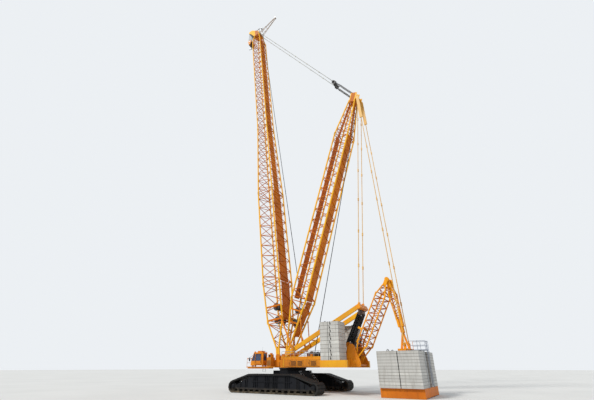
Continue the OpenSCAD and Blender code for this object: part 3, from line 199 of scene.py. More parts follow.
def surface(name, base, dark, scale=6.0, amount=0.35, rough=0.5, metal=0.0, grime=None,
            grime_amount=0.25, bump=0.002, bump_scale=60.0, edge=None, coat=0.0, within=None, plates=None,
            scuff=None, chord_highlight=None, specular=0.5):
    """Painted or bare surface: two tones in patches, fine grain, grime that runs down, wear at edges.

    within is (axis, lo, hi, base, dark, metal): another finish between lo and hi on that axis.
    plates is (z0, thickness, spread): a tone of its own for each plate of a stack.
    scuff is (colour, height): dust that fades out at that height above the ground.
    chord_highlight is (foot x, foot z, degrees, stations, base): a painted highlight, a lighter tone on a
    boom's four chord tubes.
    """
    s = Shader(name)
    s.bsdf.inputs["Coat Weight"].default_value = coat
    s.bsdf.inputs["Specular IOR Level"].default_value = specular
    patches = s.noise(scale, 6)
    colour = s.two_tone(patches, dark, base, amount)
    if within:
        axis, lo, hi, base2, dark2, metal2 = within
        where = s.place(axis)
        inside = s.math("MULTIPLY", s.math("GREATER_THAN", where, lo), s.math("LESS_THAN", where, hi))
        colour = s.mix(inside, colour, s.two_tone(s.noise(scale * 3, 5), dark2, base2, amount))
        s.link(s.level(inside, 0, 1, metal, metal2), s.bsdf.inputs["Metallic"])
    else:
        s.bsdf.inputs["Metallic"].default_value = metal
    # Painted highlight: a lighter tone on the chord tubes, as where light falls on them
    if chord_highlight:
        x0, z0, deg, stations, tone = chord_highlight
        colour = s.mix(s.chord_highlight_mask(x0, z0, deg, stations), colour, tone)
    if plates:
        z0, thick, spread = plates
        step = s.math("FLOOR", s.math("DIVIDE", s.math("SUBTRACT", s.place(2), z0), thick))
        tone = s.tree.nodes.new("ShaderNodeTexWhiteNoise")
        tone.noise_dimensions = "1D"
        s.link(step, tone.inputs["W"])
        colour = s.mix(s.level(tone.outputs["Value"], 0, 1, 0, spread), colour, dark)
    if grime:
        streak = s.noise(1.0, 4, (40, 40, 5))
        colour = s.mix(s.level(streak, 0.5, 0.8, 0, grime_amount), colour, grime)
    if scuff:
        low = s.level(s.place(2), 0.0, scuff[1], 0.8, 0.0)
        colour = s.mix(s.math("MULTIPLY", low, s.level(s.noise(18, 5), 0.3, 0.65)), colour, scuff[0])
    if edge:
        geo = s.tree.nodes.new("ShaderNodeNewGeometry")
        colour = s.mix(s.level(geo.outputs["Pointiness"], 0.56, 0.7, 0, 0.6), colour, edge)
    s.link(colour, s.bsdf.inputs["Base Color"])
    shine = s.level(patches, 0, 1, max(rough - 0.12, 0.05), min(rough + 0.15, 1.0))
    s.link(shine, s.bsdf.inputs["Roughness"])
    s.link(s.bump(s.noise(bump_scale, 3), 0.35, bump), s.bsdf.inputs["Normal"])
    return s.mat


ORANGE = srgb(234, 148, 22)
ORANGE_DARK = srgb(208, 114, 12)
RUST = srgb(120, 62, 18)
CHIP = srgb(150, 96, 40)
STEEL_A = srgb(92, 92, 92)
STEEL_B = srgb(58, 58, 60)
DUST = srgb(126, 112, 90)
WORN_PAINT = {"grime": RUST, "grime_amount": 0.35, "edge": CHIP, "specular": 0.25}
PAINT = surface("paint_orange", ORANGE, ORANGE_DARK, 3.0, 0.5, 0.42, coat=0.05, **WORN_PAINT)


def lattice_paint(name, chord_highlight, base=srgb(206, 114, 4), dark=srgb(164, 84, 0)):
    """Paint of the lattices: braces and plates in a deep orange as painted shade, with a painted highlight on
    the chord tubes.
    """
    return surface(name, base, dark, 3.0, 0.5, 0.55, grime=srgb(92, 46, 6), grime_amount=0.4,
                   chord_highlight=chord_highlight, specular=0.2)


# Painted highlight of the lattices' chord tubes
CHORD_HIGHLIGHT = srgb(244, 182, 44)
BOOM_LATTICE = lattice_paint("paint_boom", (0.175, 0.466, 7.2, [
    (0.104, 0.14, 0.019), (0.52, 0.165, 0.14), (1.15, 0.2, 0.165), (3.0, 0.2, 0.165),
    (4.75, 0.142, 0.124), (8.06, 0.142, 0.124), (8.4, 0.092, 0.072)], CHORD_HIGHLIGHT))
DERRICK_LATTICE = lattice_paint("paint_derrick", (0.072, 0.466, -17.6, [
    (0.104, 0.084, 0.019), (0.86, 0.148, 0.136), (3.95, 0.148, 0.136), (4.76, 0.066, 0.06)], CHORD_HIGHLIGHT))
# Painted highlight on the guide legs' chord tubes; their braces and plates are deep orange as painted shade,
# the inner leg darkest
GUIDE_CHORD_HIGHLIGHT = srgb(236, 158, 24)
INNER_LATTICE = lattice_paint("paint_inner_leg", (-1.062, 0.385, -28.0, [
    (0.07, 0.112, 0.014), (0.26, 0.119, 0.07), (0.95, 0.119, 0.07), (1.12, 0.104, 0.014)], GUIDE_CHORD_HIGHLIGHT),
    srgb(186, 96, 0), srgb(146, 68, 0))
OUTER_LATTICE = lattice_paint("paint_outer_leg", (-1.6207, 1.4357, 188.3, [
    (0.07, 0.072, 0.014), (0.22, 0.068, 0.04), (0.55, 0.034, 0.03)], GUIDE_CHORD_HIGHLIGHT),
    srgb(196, 106, 0), srgb(156, 78, 0))
PAINT_YELLOW = surface("paint_yellow", srgb(252, 186, 20), srgb(238, 160, 12), 4.0, 0.4, 0.45,
                       grime=srgb(150, 92, 20), grime_amount=0.25, edge=srgb(170, 116, 40), coat=0.05,
                       specular=0.25)


def painted_with_steel(name, axis, lo, hi):
    """Orange paint, with bare dark steel between two places on one axis."""
    return surface(name, ORANGE, ORANGE_DARK, 3.0, 0.5, 0.42, within=(axis, lo, hi, STEEL_A, STEEL_B, 0.6),
                   **WORN_PAINT)


WINCH = painted_with_steel("winch_finish", 1, -0.1015, 0.1015)
LUFF_BASE = painted_with_steel("luffing_base_finish", 1, -0.058, 0.058)
AFRAME_HEAD = painted_with_steel("aframe_head_finish", 2, 0.9, 1.056)
HOOK = painted_with_steel("hook_block_finish", 1, -0.0785, 0.0785)
# The yoke's platform, railing and ladder, behind x -1.812, are galvanised
YOKE = surface("yoke_finish", ORANGE, ORANGE_DARK, 3.0, 0.5, 0.42,
               within=(0, -3.0, -1.812, srgb(140, 150, 166), srgb(104, 112, 128), 0.4), **WORN_PAINT)
PENDANT = surface("pendant_finish", srgb(222, 176, 88), srgb(196, 146, 60), 8.0, 0.5, 0.5,
                  grime=RUST, grime_amount=0.2)
STAY = surface("stay_finish", srgb(172, 172, 164), srgb(130, 132, 128), 8.0, 0.5, 0.5, metal=0.2,
               specular=0.2, grime=srgb(96, 92, 86), grime_amount=0.3)
PALLET_PAINT = surface("pallet_frame_paint", srgb(222, 122, 8), srgb(190, 90, 0), 3.0, 0.5, 0.5,
                       grime=RUST, grime_amount=0.4, edge=CHIP, specular=0.2)
PAINT_DARK = surface("paint_dark", srgb(24, 26, 31), srgb(12, 13, 17), 5.0, 0.5, 0.6,
                     grime=srgb(44, 40, 34), grime_amount=0.3, edge=srgb(52, 50, 49), scuff=(DUST, 0.07),
                     specular=0.15)
WINCH_GREY = surface("winch_grey", srgb(70, 70, 72), srgb(42, 42, 44), 12.0, 0.5, 0.55, metal=0.4,
                     grime=srgb(40, 32, 24), grime_amount=0.5)
TRACK = surface("track_steel", srgb(24, 24, 27), srgb(10, 10, 13), 14.0, 0.6, 0.7,
                grime=srgb(48, 43, 36), grime_amount=0.35, edge=srgb(62, 60, 57), bump=0.003,
                scuff=(DUST, 0.05), specular=0.15)
BALLAST = surface("ballast_grey", srgb(220, 219, 213), srgb(192, 191, 187), 5.0, 0.5, 0.75,
                  grime=srgb(112, 104, 92), grime_amount=0.55, edge=srgb(146, 143, 136), bump=0.003,
                  bump_scale=90, plates=(0.4013, 0.048, 0.9))
PALLET_GREY = surface("pallet_grey", srgb(214, 213, 208), srgb(184, 183, 180), 5.0, 0.5, 0.75,
                      grime=srgb(112, 104, 92), grime_amount=0.55, edge=srgb(146, 143, 136), bump=0.003,
                      bump_scale=90, plates=(0.1003, 0.033, 0.9))
GALV = surface("galvanised", srgb(176, 180, 182), srgb(136, 141, 145), 30.0, 0.5, 0.45, metal=0.7,
               grime=srgb(96, 92, 86), grime_amount=0.25)
STEEL = surface("machined_steel", srgb(150, 152, 154), srgb(104, 106, 110), 20.0, 0.5, 0.35, metal=0.9,
                grime=srgb(70, 58, 42), grime_amount=0.35)
ROPE = surface("wire_rope", srgb(74, 74, 74), srgb(40, 40, 42), 60.0, 0.6, 0.55, metal=0.5,
               grime=srgb(40, 34, 28), grime_amount=0.5, bump=0.002, bump_scale=400)
FALLS = surface("greased_rope", srgb(40, 42, 46), srgb(22, 23, 26), 60.0, 0.6, 0.5, metal=0.4,
                grime=srgb(66, 58, 46), grime_amount=0.4, bump=0.002, bump_scale=400)
TIP = surface("paint_tip_arm", srgb(156, 112, 56), srgb(118, 82, 38), 5.0, 0.5, 0.6, specular=0.2,
              grime=srgb(70, 58, 44), grime_amount=0.4, edge=srgb(160, 150, 130))
BLACK = surface("black_plastic", srgb(30, 31, 33), srgb(18, 18, 20), 12.0, 0.5, 0.6,
                grime=srgb(70, 66, 60), grime_amount=0.3)
SEAM = surface("seam_shadow", srgb(46, 38, 30), srgb(28, 24, 20), 20.0, 0.5, 0.8)
JOINT = surface("joint_shadow", srgb(122, 117, 108), srgb(86, 82, 76), 9.0, 0.6, 0.8)
# Dark steel of pins and eyes, also used as painted shade in the ballast's lug pockets
LUG_STEEL_AND_SHADE = surface("lug_steel_and_pocket_shade", srgb(58, 57, 56), srgb(34, 34, 35), 40.0, 0.5, 0.7, metal=0.3,
              grime=srgb(90, 66, 44), grime_amount=0.4)
LENS = surface("lamp_lens", srgb(236, 236, 226), srgb(206, 208, 204), 60.0, 0.5, 0.2, coat=0.5)
AMBER = surface("beacon_amber", srgb(240, 150, 30), srgb(214, 112, 14), 60.0, 0.5, 0.2, coat=0.5)


def glass_material():
    s = Shader("tinted_glass_painted_reflection")
    s.bsdf.inputs["Metallic"].default_value = 0.0
    s.bsdf.inputs["Alpha"].default_value = 0.86
    s.bsdf.inputs["Coat Weight"].default_value = 0.6
    smear = s.noise(22.0, 4)
    # Painted reflection of the sky: blue in the upper part of the glass, dark in the lower
    sky_reflection = s.level(s.place(2), 0.4, 0.53)
    s.link(s.mix(sky_reflection, s.two_tone(smear, srgb(24, 44, 78), srgb(48, 78, 120), 0.6), srgb(44, 42, 66)),
           s.bsdf.inputs["Base Color"])
    s.link(s.level(smear, 0, 1, 0.03, 0.14), s.bsdf.inputs["Roughness"])
    return s.mat


GLASS = glass_material()

NODE_MATERIAL = {
    PAINT_DARK: ["side_frame_left", "side_frame_right", "rollers_left", "rollers_right", "car_body",
                 "cab_seat", "engine_block"],
    WINCH_GREY: ["derrick_winch", "boom_winches", "luffing_block", "cylinder_barrels"],
    WINCH: ["hoist_winches"],
    LUFF_BASE: ["luffing_base"],
    AFRAME_HEAD: ["aframe_head"],
    HOOK: ["hook_block"],
    YOKE: ["pallet_yoke"],
    PENDANT: ["aframe_pendants", "ballast_pendants"],
    STAY: ["boom_stays"],
    TRACK: ["track_left", "track_right", "slew_ring"],
    BALLAST: ["ballast_left", "ballast_right"],
    PALLET_GREY: ["pallet_plates"],
    PALLET_PAINT: ["pallet_frame"],
    GALV: ["access_ladders", "handrails"],
    STEEL: ["boom_sheaves", "cylinder_rods", "load_hook"],
    ROPE: ["hoist_falls", "luffing_falls"],
    FALLS: ["aframe_falls"],
    TIP: ["tip_arm"],
    GLASS: ["cab_glass"],
    PAINT_YELLOW: ["ballast_rail", "aframe_legs"],
    BOOM_LATTICE: ["boom_foot", "boom_lower", "boom_middle", "boom_upper", "boom_head"],
    DERRICK_LATTICE: ["derrick_foot", "derrick_middle", "derrick_head"],
    INNER_LATTICE: ["guide_inner_leg"],
    OUTER_LATTICE: ["guide_outer_leg"],
}
material_of = {n: m for m, names in NODE_MATERIAL.items() for n in names}
for name, obj in nodes.items():
    obj.data.materials.clear()
    obj.data.materials.append(material_of.get(name, PAINT))


BOX_FACES = [(0, 1, 3, 2), (4, 6, 7, 5), (0, 4, 5, 1), (2, 3, 7, 6), (0, 2, 6, 4), (1, 5, 7, 3)]
PRISM_FACES = [(0, 1, 2, 3), (7, 6, 5, 4), (0, 4, 5, 1), (1, 5, 6, 2), (2, 6, 7, 3), (3, 7, 4, 0)]


def circle(sides):
    """Cosines and sines of a circle's corners."""
    return [(math.cos(2 * math.pi * i / sides), math.sin(2 * math.pi * i / sides)) for i in range(sides)]


def rings_closed(n, sides):
    """Faces of a skin over n rings of corners, with both ends closed."""
    faces = []
    for i in range(n - 1):
        for k in range(sides):
            a, b = i * sides, (k + 1) % sides
            faces.append((a + k, a + b, a + sides + b, a + sides + k))
    return faces + [tuple(reversed(range(sides))), tuple(range((n - 1) * sides, n * sides))]


class Build:
    """Collects tubes, boxes and turned forms into one mesh piece. Sizes are in millimetres, as in the CAD."""

    def __init__(self):
        self.verts = []
        self.faces = []

    def add(self, verts, faces):
        k = len(self.verts)
        self.verts += [tuple(v) for v in verts]
        self.faces += [tuple(i + k for i in f) for f in faces]

    def tube(self, p, q, r, sides=8, r2=None):
        p, q = Vector(p), Vector(q)
        d = (q - p).normalized()
        u = d.orthogonal().normalized()
        v = d.cross(u)
        ends = ((p, r), (q, r if r2 is None else r2))
        verts = [c + (u * a + v * b) * rad for c, rad in ends for a, b in circle(sides)]
        self.add(verts, rings_closed(2, sides))

    def box(self, x0, x1, y0, y1, z0, z1, turn=None):
        verts = [(x, y, z) for x in (x0, x1) for y in (y0, y1) for z in (z0, z1)]
        if turn:
            verts = [turn(*v) for v in verts]
        self.add(verts, BOX_FACES)

    def prism(self, corners, y0, y1):
        """A four-cornered plate between two places along Y."""
        self.add([(x, y, z) for y in (y0, y1) for x, z in corners], PRISM_FACES)

    def path(self, points, r, sides=6):
        """A bent tube through points."""
        points = [Vector(p) for p in points]
        rings = []
        for i, p in enumerate(points):
            d = (points[min(i + 1, len(points) - 1)] - points[max(i - 1, 0)]).normalized()
            u = d.cross(Vector((0.13, 0.97, 0.21))).normalized()
            v = d.cross(u)
            rings += [p + (u * a + v * b) * r for a, b in circle(sides)]
        self.add(rings, rings_closed(len(points), sides))

    def turned(self, x, z, profile, turn=None, sides=24):
        """A form turned about an axis along Y at (x, z): profile is a list of (y, radius)."""
        verts = [(x + r * a, y, z + r * b) for y, r in profile for a, b in circle(sides)]
        if turn:
            verts = [turn(*v) for v in verts]
        self.add(verts, rings_closed(len(profile), sides))

    def pin(self, x, z, y0, y1, r, turn=None, sides=12, core=0.5):
        """A plain round pin along Y."""
        self.turned(x, z, [(y0, core), (y0, r), (y1, r), (y1, core)], turn, sides)

    def done(self, name, material, body, bevel=0.0):
        mesh = bpy.data.meshes.new(name)
        mesh.from_pydata([(x * 0.001, y * 0.001, z * 0.001) for x, y, z in self.verts], [], self.faces)
        bm = bmesh.new()
        bm.from_mesh(mesh)
        bmesh.ops.recalc_face_normals(bm, faces=bm.faces)
        bm.to_mesh(mesh)
        bm.free()
        obj = bpy.data.objects.new(name, mesh)
        bpy.context.scene.collection.objects.link(obj)
        mesh.materials.append(material)
        if bevel:
            mod = obj.modifiers.new("edges", "BEVEL")
            mod.width = bevel * 0.001
            mod.segments = 1
            mod.limit_method = "ANGLE"
        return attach(obj, body)


# Places of the CAD, in millimetres: booms turn about their foot pins
def turner(x0, z0, deg):
    c, s = math.cos(math.radians(deg)), math.sin(math.radians(deg))
    return lambda x, y, z: (x0 + x * c + z * s, y, z0 + z * c - x * s)


BOOM_PIN, BOOM_DEG, BOOM_LEN = (175, 466), 82.8, 8400
DERRICK_PIN, DERRICK_DEG, DERRICK_LEN = (72, 466), 107.6, 4880
AFRAME_DEG, AFRAME_LEN = 153.5, 1390
GUIDE_PIN, GUIDE_DEG, INNER_LEN = (-1062, 385), 118, 1190
OUTER_DEG, OUTER_LEN = 8.3, 700
on_boom = turner(*BOOM_PIN, 90 - BOOM_DEG)
on_derrick = turner(*DERRICK_PIN, 90 - DERRICK_DEG)
on_guide = turner(*GUIDE_PIN, 90 - GUIDE_DEG)
knee = on_guide(0, 0, INNER_LEN)
on_outer = turner(knee[0], knee[2], 180 + OUTER_DEG)
PALLET_X = on_outer(0, 0, OUTER_LEN)[0]
DECK = 420
DECK_WINCHES = (-385, -640, -860)
HOUSE_FACE = 289
HEAD_X, HEAD_Z = 210, 8680
HEAD_AXLE = on_boom(HEAD_X, 0, HEAD_Z)
HOOK_DROP = 400
GUIDE_X, GUIDE_Z = -112, 8712
CYLINDER_Y = 84
# Upper ballast: one stack of ten plates a side
STACK_X0, STACK_X1, STACK_Y0, STACK_Y1, STACK_Z0 = -973, -697, 200, 430, 401.3
PLATE_N, PLATE_T = 10, 48
# Pallet ballast: four stacks of twelve plates
PALLET_Z0, PALLET_TOP, PALLET_N, PALLET_T = 100.3, 494, 12, 33
TRACK_Y, WHEEL_X, WHEEL_Z = 483, 655, 76


def lerp(a, b, t):
    return tuple(p + (q - p) * t for p, q in zip(a, b))


def arch(x, y, z, rx, rz, steps):
    """Points of a half ring about (x, z), in a plane across Y. It opens down, or up where rz is negative."""
    angles = [math.pi * k / steps for k in range(steps + 1)]
    return [(x + rx * math.cos(a), y, z + rz * math.sin(a)) for a in angles]


def rope_layer(w, r, step=6.5):
    """Profile of a drum's rope layer: rounded turns side by side."""
    out = [(-w, r - 2)]
    n = int(2 * w / step)
    for i in range(n):
        y = -w + (i + 0.5) * 2 * w / n
        edge, crown = step * 0.46, step * 0.2
        out += [(y - edge, r), (y - crown, r + 2.6), (y + crown, r + 2.6), (y + edge, r)]
    return out + [(w, r - 2)]


# Rope layers on the winches
w = Build()
for x in DECK_WINCHES:
    w.turned(x, DECK + 58, rope_layer(91, 37))
w.done("deck_winch_rope", ROPE, "superstructure")
w = Build()
for z in (540, 750):
    w.turned(0, z, rope_layer(84, 45), on_boom)
w.done("boom_winch_rope", ROPE, "boom")
w = Build()
for z in (500, 690):
    w.turned(0, z, rope_layer(66, 41), on_derrick)
w.done("derrick_winch_rope", ROPE, "derrick")

# Hoist ropes: from the derrick foot's upper winch, up behind the boom and over a guide sheave to the head
GUIDE_SHEAVE = [(-16, 8), (-14, 27), (-9, 27), (-6, 24), (0, 27), (6, 24), (9, 27), (14, 27), (16, 8)]
TIP_SHEAVE = [(-20, 6), (-18, 16), (-14, 16), (-8, 12), (8, 12), (14, 16), (18, 16), (20, 6)]
w = Build()
for y in (-6, 6):
    w.path([on_derrick(-20, y, 742), on_boom(-405, y, 1350), on_boom(-154, y, 8400),
            on_boom(-141, y, 8700), on_boom(-128, y, 8724), on_boom(-100, y, 8741), on_boom(190, y, 8741)], 3)
w.done("hoist_ropes", FALLS, "boom")
w = Build()
w.turned(GUIDE_X, GUIDE_Z, GUIDE_SHEAVE, on_boom, 20)
w.tube(on_boom(GUIDE_X, -34, GUIDE_Z), on_boom(GUIDE_X, 34, GUIDE_Z), 6, 12)
for y in (-28, 28):
    w.box(-118, -106, y - 3, y + 3, 8466, 8720, on_boom)
    w.tube(on_boom(GUIDE_X, y, GUIDE_Z - 12), on_boom(-30, y, 8478), 4, 8)
w.done("rope_guide_sheave", STEEL, "boom")
w = Build()
w.turned(-612, BOOM_LEN + 352, TIP_SHEAVE, on_boom, 20)
for y in (-26, 26):
    w.box(-640, -590, y - 2.5, y + 2.5, BOOM_LEN + 330, BOOM_LEN + 372, on_boom)
w.done("tip_sheave", STEEL, "boom", 1)

# Sheaves: rims and grooves over the head's plain drums, and the rope round the head's and the block's drums
gap = 2 * (92 - 14) / 7
ys = [(i - 3) * gap for i in range(7)]
w = Build()
for y in ys:
    h = gap / 2 - 2
    rim = [(-h - 0.4, 30), (-h - 0.4, 56), (-h + 1.5, 57.5), (-2.6, 55.4)]
    rim += [(-a, b) for a, b in reversed(rim)]
    w.turned(HEAD_X, HEAD_Z, [(y + a, b) for a, b in rim], on_boom, 32)
    # Hub
    w.pin(HEAD_X, HEAD_Z, y - h - 0.8, y + h + 0.8, 22, on_boom, 16, 10)
w.done("head_sheave_rims", STEEL, "boom")
w = Build()
for y in ys:
    w.path(arch(HEAD_AXLE[0], y, HEAD_AXLE[2], 58.4, 58.4, 12), 2.9, 6)
w.done("head_rope_turns", ROPE, "boom")
hook_z = HEAD_AXLE[2] - HOOK_DROP
w = Build()
for y in ys:
    w.path(arch(HEAD_AXLE[0], y, hook_z, 53.4, -53.4, 12), 2.9, 6)
w.done("block_rope_turns", ROPE, "hook")
w = Build()
for s in (-1, 1):
    y = s * 90
    w.turned(HEAD_AXLE[0], hook_z, [(y - s * 2, 0.5), (y - s * 2, 20), (y + s * 3, 18), (y + s * 3, 0.5)],
             None, 16)
    for k in range(6):
        a = math.pi * k / 3
        px, pz = HEAD_AXLE[0] + 40 * math.cos(a), hook_z + 40 * math.sin(a)
        bolt = [(y - s * 2, 0.5), (y - s * 2, 3.5), (y + s * 1.5, 3.2), (y + s * 1.5, 0.5)]
        w.turned(px, pz, bolt, None, 6)
w.done("hook_block_bolts", STEEL, "hook")

# More parts of line between the A-frame's falls that the CAD has
aframe_x, aframe_z = math.cos(math.radians(AFRAME_DEG)), math.sin(math.radians(AFRAME_DEG))
aframe_top = (DERRICK_PIN[0] + AFRAME_LEN * aframe_x, 0, DERRICK_PIN[1] + AFRAME_LEN * aframe_z)
low = Vector((-952, 0, 600))
high = Vector((aframe_top[0] + 6, 0, aframe_top[2] - 70))
run = (high - low).normalized()
side = Vector((run.z, 0, -run.x))
w = Build()
for s in (-1, 1):
    for i in range(5):
        across = Vector((0, (i - 2) * 20, 0))
        w.tube(high + side * s * 38.3 + across, low + side * s * 42 + run * 6 + across, 4, 6)
    for i in range(6):
        across = Vector((0, (i - 2.5) * 20, 0))
        w.tube(high + side * s * 20 - run * 36 + across, low + side * s * 20 + run * 44 + across, 4, 6)
w.done("aframe_more_falls", FALLS, "aframe_falls")
# Luffing rope: from the first deck winch straight to the derrick's head
w = Build()
for y in (-6, 6):
    w.path([(DECK_WINCHES[0], y, DECK + 97), on_derrick(-98, y, 4800), on_derrick(-92, y, 4856),
            on_derrick(-34, y, 4916), on_derrick(4, y, 4934), on_derrick(30, y, 4939)], 3)
w.done("derrick_ropes", FALLS, "derrick")

# Tall side plates of the guide frame's bracket, with the bosses of its foot pin and a cross tube
w = Build()
CHEEK = [(-934, 420.4), (-1012, 420.4), (-1012, 324), (-1150, 324), (-1156, 360), (-1140, 424), (-1104, 486),
         (-1084, 574), (-1056, 606), (-1014, 606), (-970, 560), (-948, 470)]
n = len(CHEEK)
mx, mz = sum(p[0] for p in CHEEK) / n, sum(p[1] for p in CHEEK) / n
for s in (-1, 1):
    for y0, y1, grow in ((150, 158, 1.0), (158, 161, 0.86)):
        ring = [(mx + (x - mx) * grow, mz + (z - mz) * grow) for x, z in CHEEK]
        verts = [(x, s * y, z) for y in (y0, y1) for x, z in ring]
        faces = [tuple(range(n)), tuple(reversed(range(n, 2 * n)))]
        faces += [(i, (i + 1) % n, n + (i + 1) % n, n + i) for i in range(n)]
        w.add(verts, faces)
    w.turned(*GUIDE_PIN, [(s * 131, 26), (s * 150, 28), (s * 166, 28), (s * 172, 22), (s * 172, 1)], None, 24)
w.tube((-1128, -150, 344), (-1128, 150, 344), 10, 16)
w.done("guide_bracket_cheeks", PAINT, "superstructure", 1)

# Links where the stay and pendant bars are pinned together
w = Build()
stay_top = on_boom(-80, 0, BOOM_LEN + 24)
luff_pin = on_derrick(30, 0, DERRICK_LEN + 20)
block_at = tuple(Vector(luff_pin) + (Vector(stay_top) - Vector(luff_pin)).normalized() * 640)


def link(w, p, q, t, y, half, thick, w2):
    """Two eye plates round the bar at t along p to q."""
    a, b = Vector(lerp(p, q, t)), Vector(q) - Vector(p)
    d = b.normalized()
    n = Vector((d.z, 0, -d.x))
    for e in (-1, 1):
        verts = [tuple(a + d * (i * half) + n * (j * w2) + Vector((0, y + e * 7 + k * thick, 0)))
                 for i in (-1, 1) for k in (-1, 1) for j in (-1, 1)]
        w.add(verts, BOX_FACES)
    for e in (-0.55, 0.55):
        c = a + d * half * e
        w.pin(c.x, c.z, y - 11, y + 11, 5, None, 8, 0.4)


stay_low = tuple(Vector(block_at) + (Vector(stay_top) - Vector(block_at)).normalized() * 39)
for y in (-100, 100):
    for i in range(1, 7):
        link(w, stay_low, stay_top, i / 7, y, 26, 1.6, 9)
w.done("stay_links", STAY, "boom_stays")
w = Build()
a_low = (aframe_top[0], 0, aframe_top[2] + 58)
der_pin = on_derrick(-120, 0, DERRICK_LEN - 70)
for y in (-90, 90):
    for i in range(1, 7):
        link(w, a_low, der_pin, i / 7, y, 26, 1.6, 9)
w.done("aframe_pendant_links", PENDANT, "derrick")
w = Build()
eye = (PALLET_X - 30, 0, 100 + PALLET_N * PALLET_T + 90)
for y in (-122, 122):
    for i in range(1, 7):
        link(w, lerp(der_pin, eye, 0.16), eye, i / 7, y, 26, 1.6, 9)
w.done("ballast_pendant_links", PENDANT, "ballast_pendants")

# Pins through the lattice joints' connectors
def joint_pins(name, turn, body, places):
    w = Build()
    for z, half_w, half_d, r in places:
        for sx in (-1, 1):
            for sy in (-1, 1):
                y = sy * half_w
                w.pin(sx * half_d, z, y - r - 7, y + r + 7, 6, turn, 10)
                w.pin(sx * half_d, z + 9, y - r - 5, y + r + 5, 3, turn, 8)
    w.done(name, LUG_STEEL_AND_SHADE, body)


joint_pins("boom_joint_pins", on_boom, "boom",
           [(1150, 200, 165, 13.5), (3000, 200, 165, 13.5), (4750, 142, 124, 13.5), (8060, 142, 124, 12)])
joint_pins("derrick_joint_pins", on_derrick, "derrick", [(860, 148, 136, 13.5), (3950, 148, 136, 13.5)])

# Houses: seam lines round the doors, handles, hinges, and painted shade behind the louvres, a dark sheet on
# each louvred door.
# A door is (front end, length, louvres).
DOORS = [(-30, 96, 0), (-138, 96, 7), (-246, 96, 7), (-354, 96, 0), (-462, 96, 7), (-570, 90, 0)]
for s, tag in ((1, "left"), (-1, "right")):
    seams_and_louvre_shade, trim = Build(), Build()
    face = s * HOUSE_FACE
    for x1, length, louvres in DOORS:
        x0 = x1 - length
        for a, b in ((x0 - 2.5, x0 + 0.2), (x1 - 0.2, x1 + 2.5)):
            seams_and_louvre_shade.box(a, b, face - 0.6, face + s * 0.5, 326, 414)
        for a, b in ((326, 329.2), (411.8, 414)):
            seams_and_louvre_shade.box(x0, x1, face - 0.6, face + s * 0.5, a, b)
        if louvres:
            # Painted shade: a dark sheet over the louvres' openings
            seams_and_louvre_shade.box(x0 + 8, x1 - 8, face + s * 2.02, face + s * 2.5, 336, 400)
        trim.box(x0 + 7, x0 + 11, face + s * 2, face + s * 7, 358, 380)
        for z in (340, 402):
            trim.tube((x1 + 1, face + s * 2, z - 6), (x1 + 1, face + s * 2, z + 6), 2, 8)
    seams_and_louvre_shade.done("door_seams_and_louvre_shade_" + tag, SEAM, "superstructure")
    trim.done("door_trim_" + tag, BLACK, "superstructure", 0.6)
    # Walkway grating with its lengthwise bars
    walk = Build()
    y0, y1 = sorted((s * 176, s * 278))
    x = -668
    while x < 20:
        walk.box(x, x + 1.6, y0, y1, 426, 428.4)
        x += 9
    for y in (y0, (y0 * 2 + y1) / 3, (y0 + y1 * 2) / 3, y1):
        walk.box(-670, 22, y - 1, y + 1, 425.8, 429)
    walk.done("walkway_grating_" + tag, GALV, "superstructure")
    # Ribs and upper edge of the bright band along the house
    ribs = Build()
    for i in range(12):
        x = -660 + i * 60
        ribs.box(x, x + 5, face, s * 291.5, 428, 452)
    ribs.box(-670, 23, s * 288.6, s * 292, 450, 455)
    ribs.done("band_ribs_" + tag, PAINT_YELLOW, "superstructure", 0.6)
    # Bright corner post at the front of the house
    post = Build()
    post.box(-17, -12.5, s * 190, s * 291.5, 322, 420)
    post.box(-26, -13, s * 288.8, s * 291.6, 322, 420)
    post.done("house_front_post_" + tag, PAINT_YELLOW, "superstructure", 1)
    # Lifting eyes between the walkway bars
    eyes = Build()
    for x in (-600, -330, -60):
        eyes.path(arch(x, s * 270, 429, 12, 14, 8), 2.4, 6)
    eyes.done("lifting_eyes_" + tag, STEEL, "superstructure")

# Exhaust stack and air filter on the right house
w = Build()
stack = [(-360, 424), (-360, 520), (-366, 540), (-384, 552), (-396, 556)]
w.path([(x, -235, z) for x, z in stack], 11, 16)
w.turned(-520, 444, [(-262, 1), (-262, 17), (-256, 19), (-206, 19), (-200, 17), (-200, 1)], None, 20)
w.done("exhaust_and_filter", BLACK, "superstructure", 0.8)

# Oil lines along the main frame, on both sides of the winches
w = Build()
for k, y in enumerate((-132, -124, 124, 132)):
    w.path([(-60, y, 428 + 3 * (k % 2)), (-300, y, 428), (-330, y * 0.98, 436), (-700, y * 0.98, 436),
            (-730, y * 0.94, 428), (-940, y * 0.94, 428)], 3, 8)
w.done("deck_lines", BLACK, "superstructure")

def joint(w, x0, x1, y0, y1, z0, z1, out=0.5):
    """Dark strip round a stack of plates, with its middle open."""
    y0, y1 = sorted((y0, y1))
    for a, b in ((x0 - out, x0 + 4), (x1 - 4, x1 + out)):
        w.box(a, b, y0 - out, y1 + out, z0, z1)
    for a, b in ((y0 - out, y0 + 4), (y1 - 4, y1 + out)):
        w.box(x0 - out, x1 + out, a, b, z0, z1)


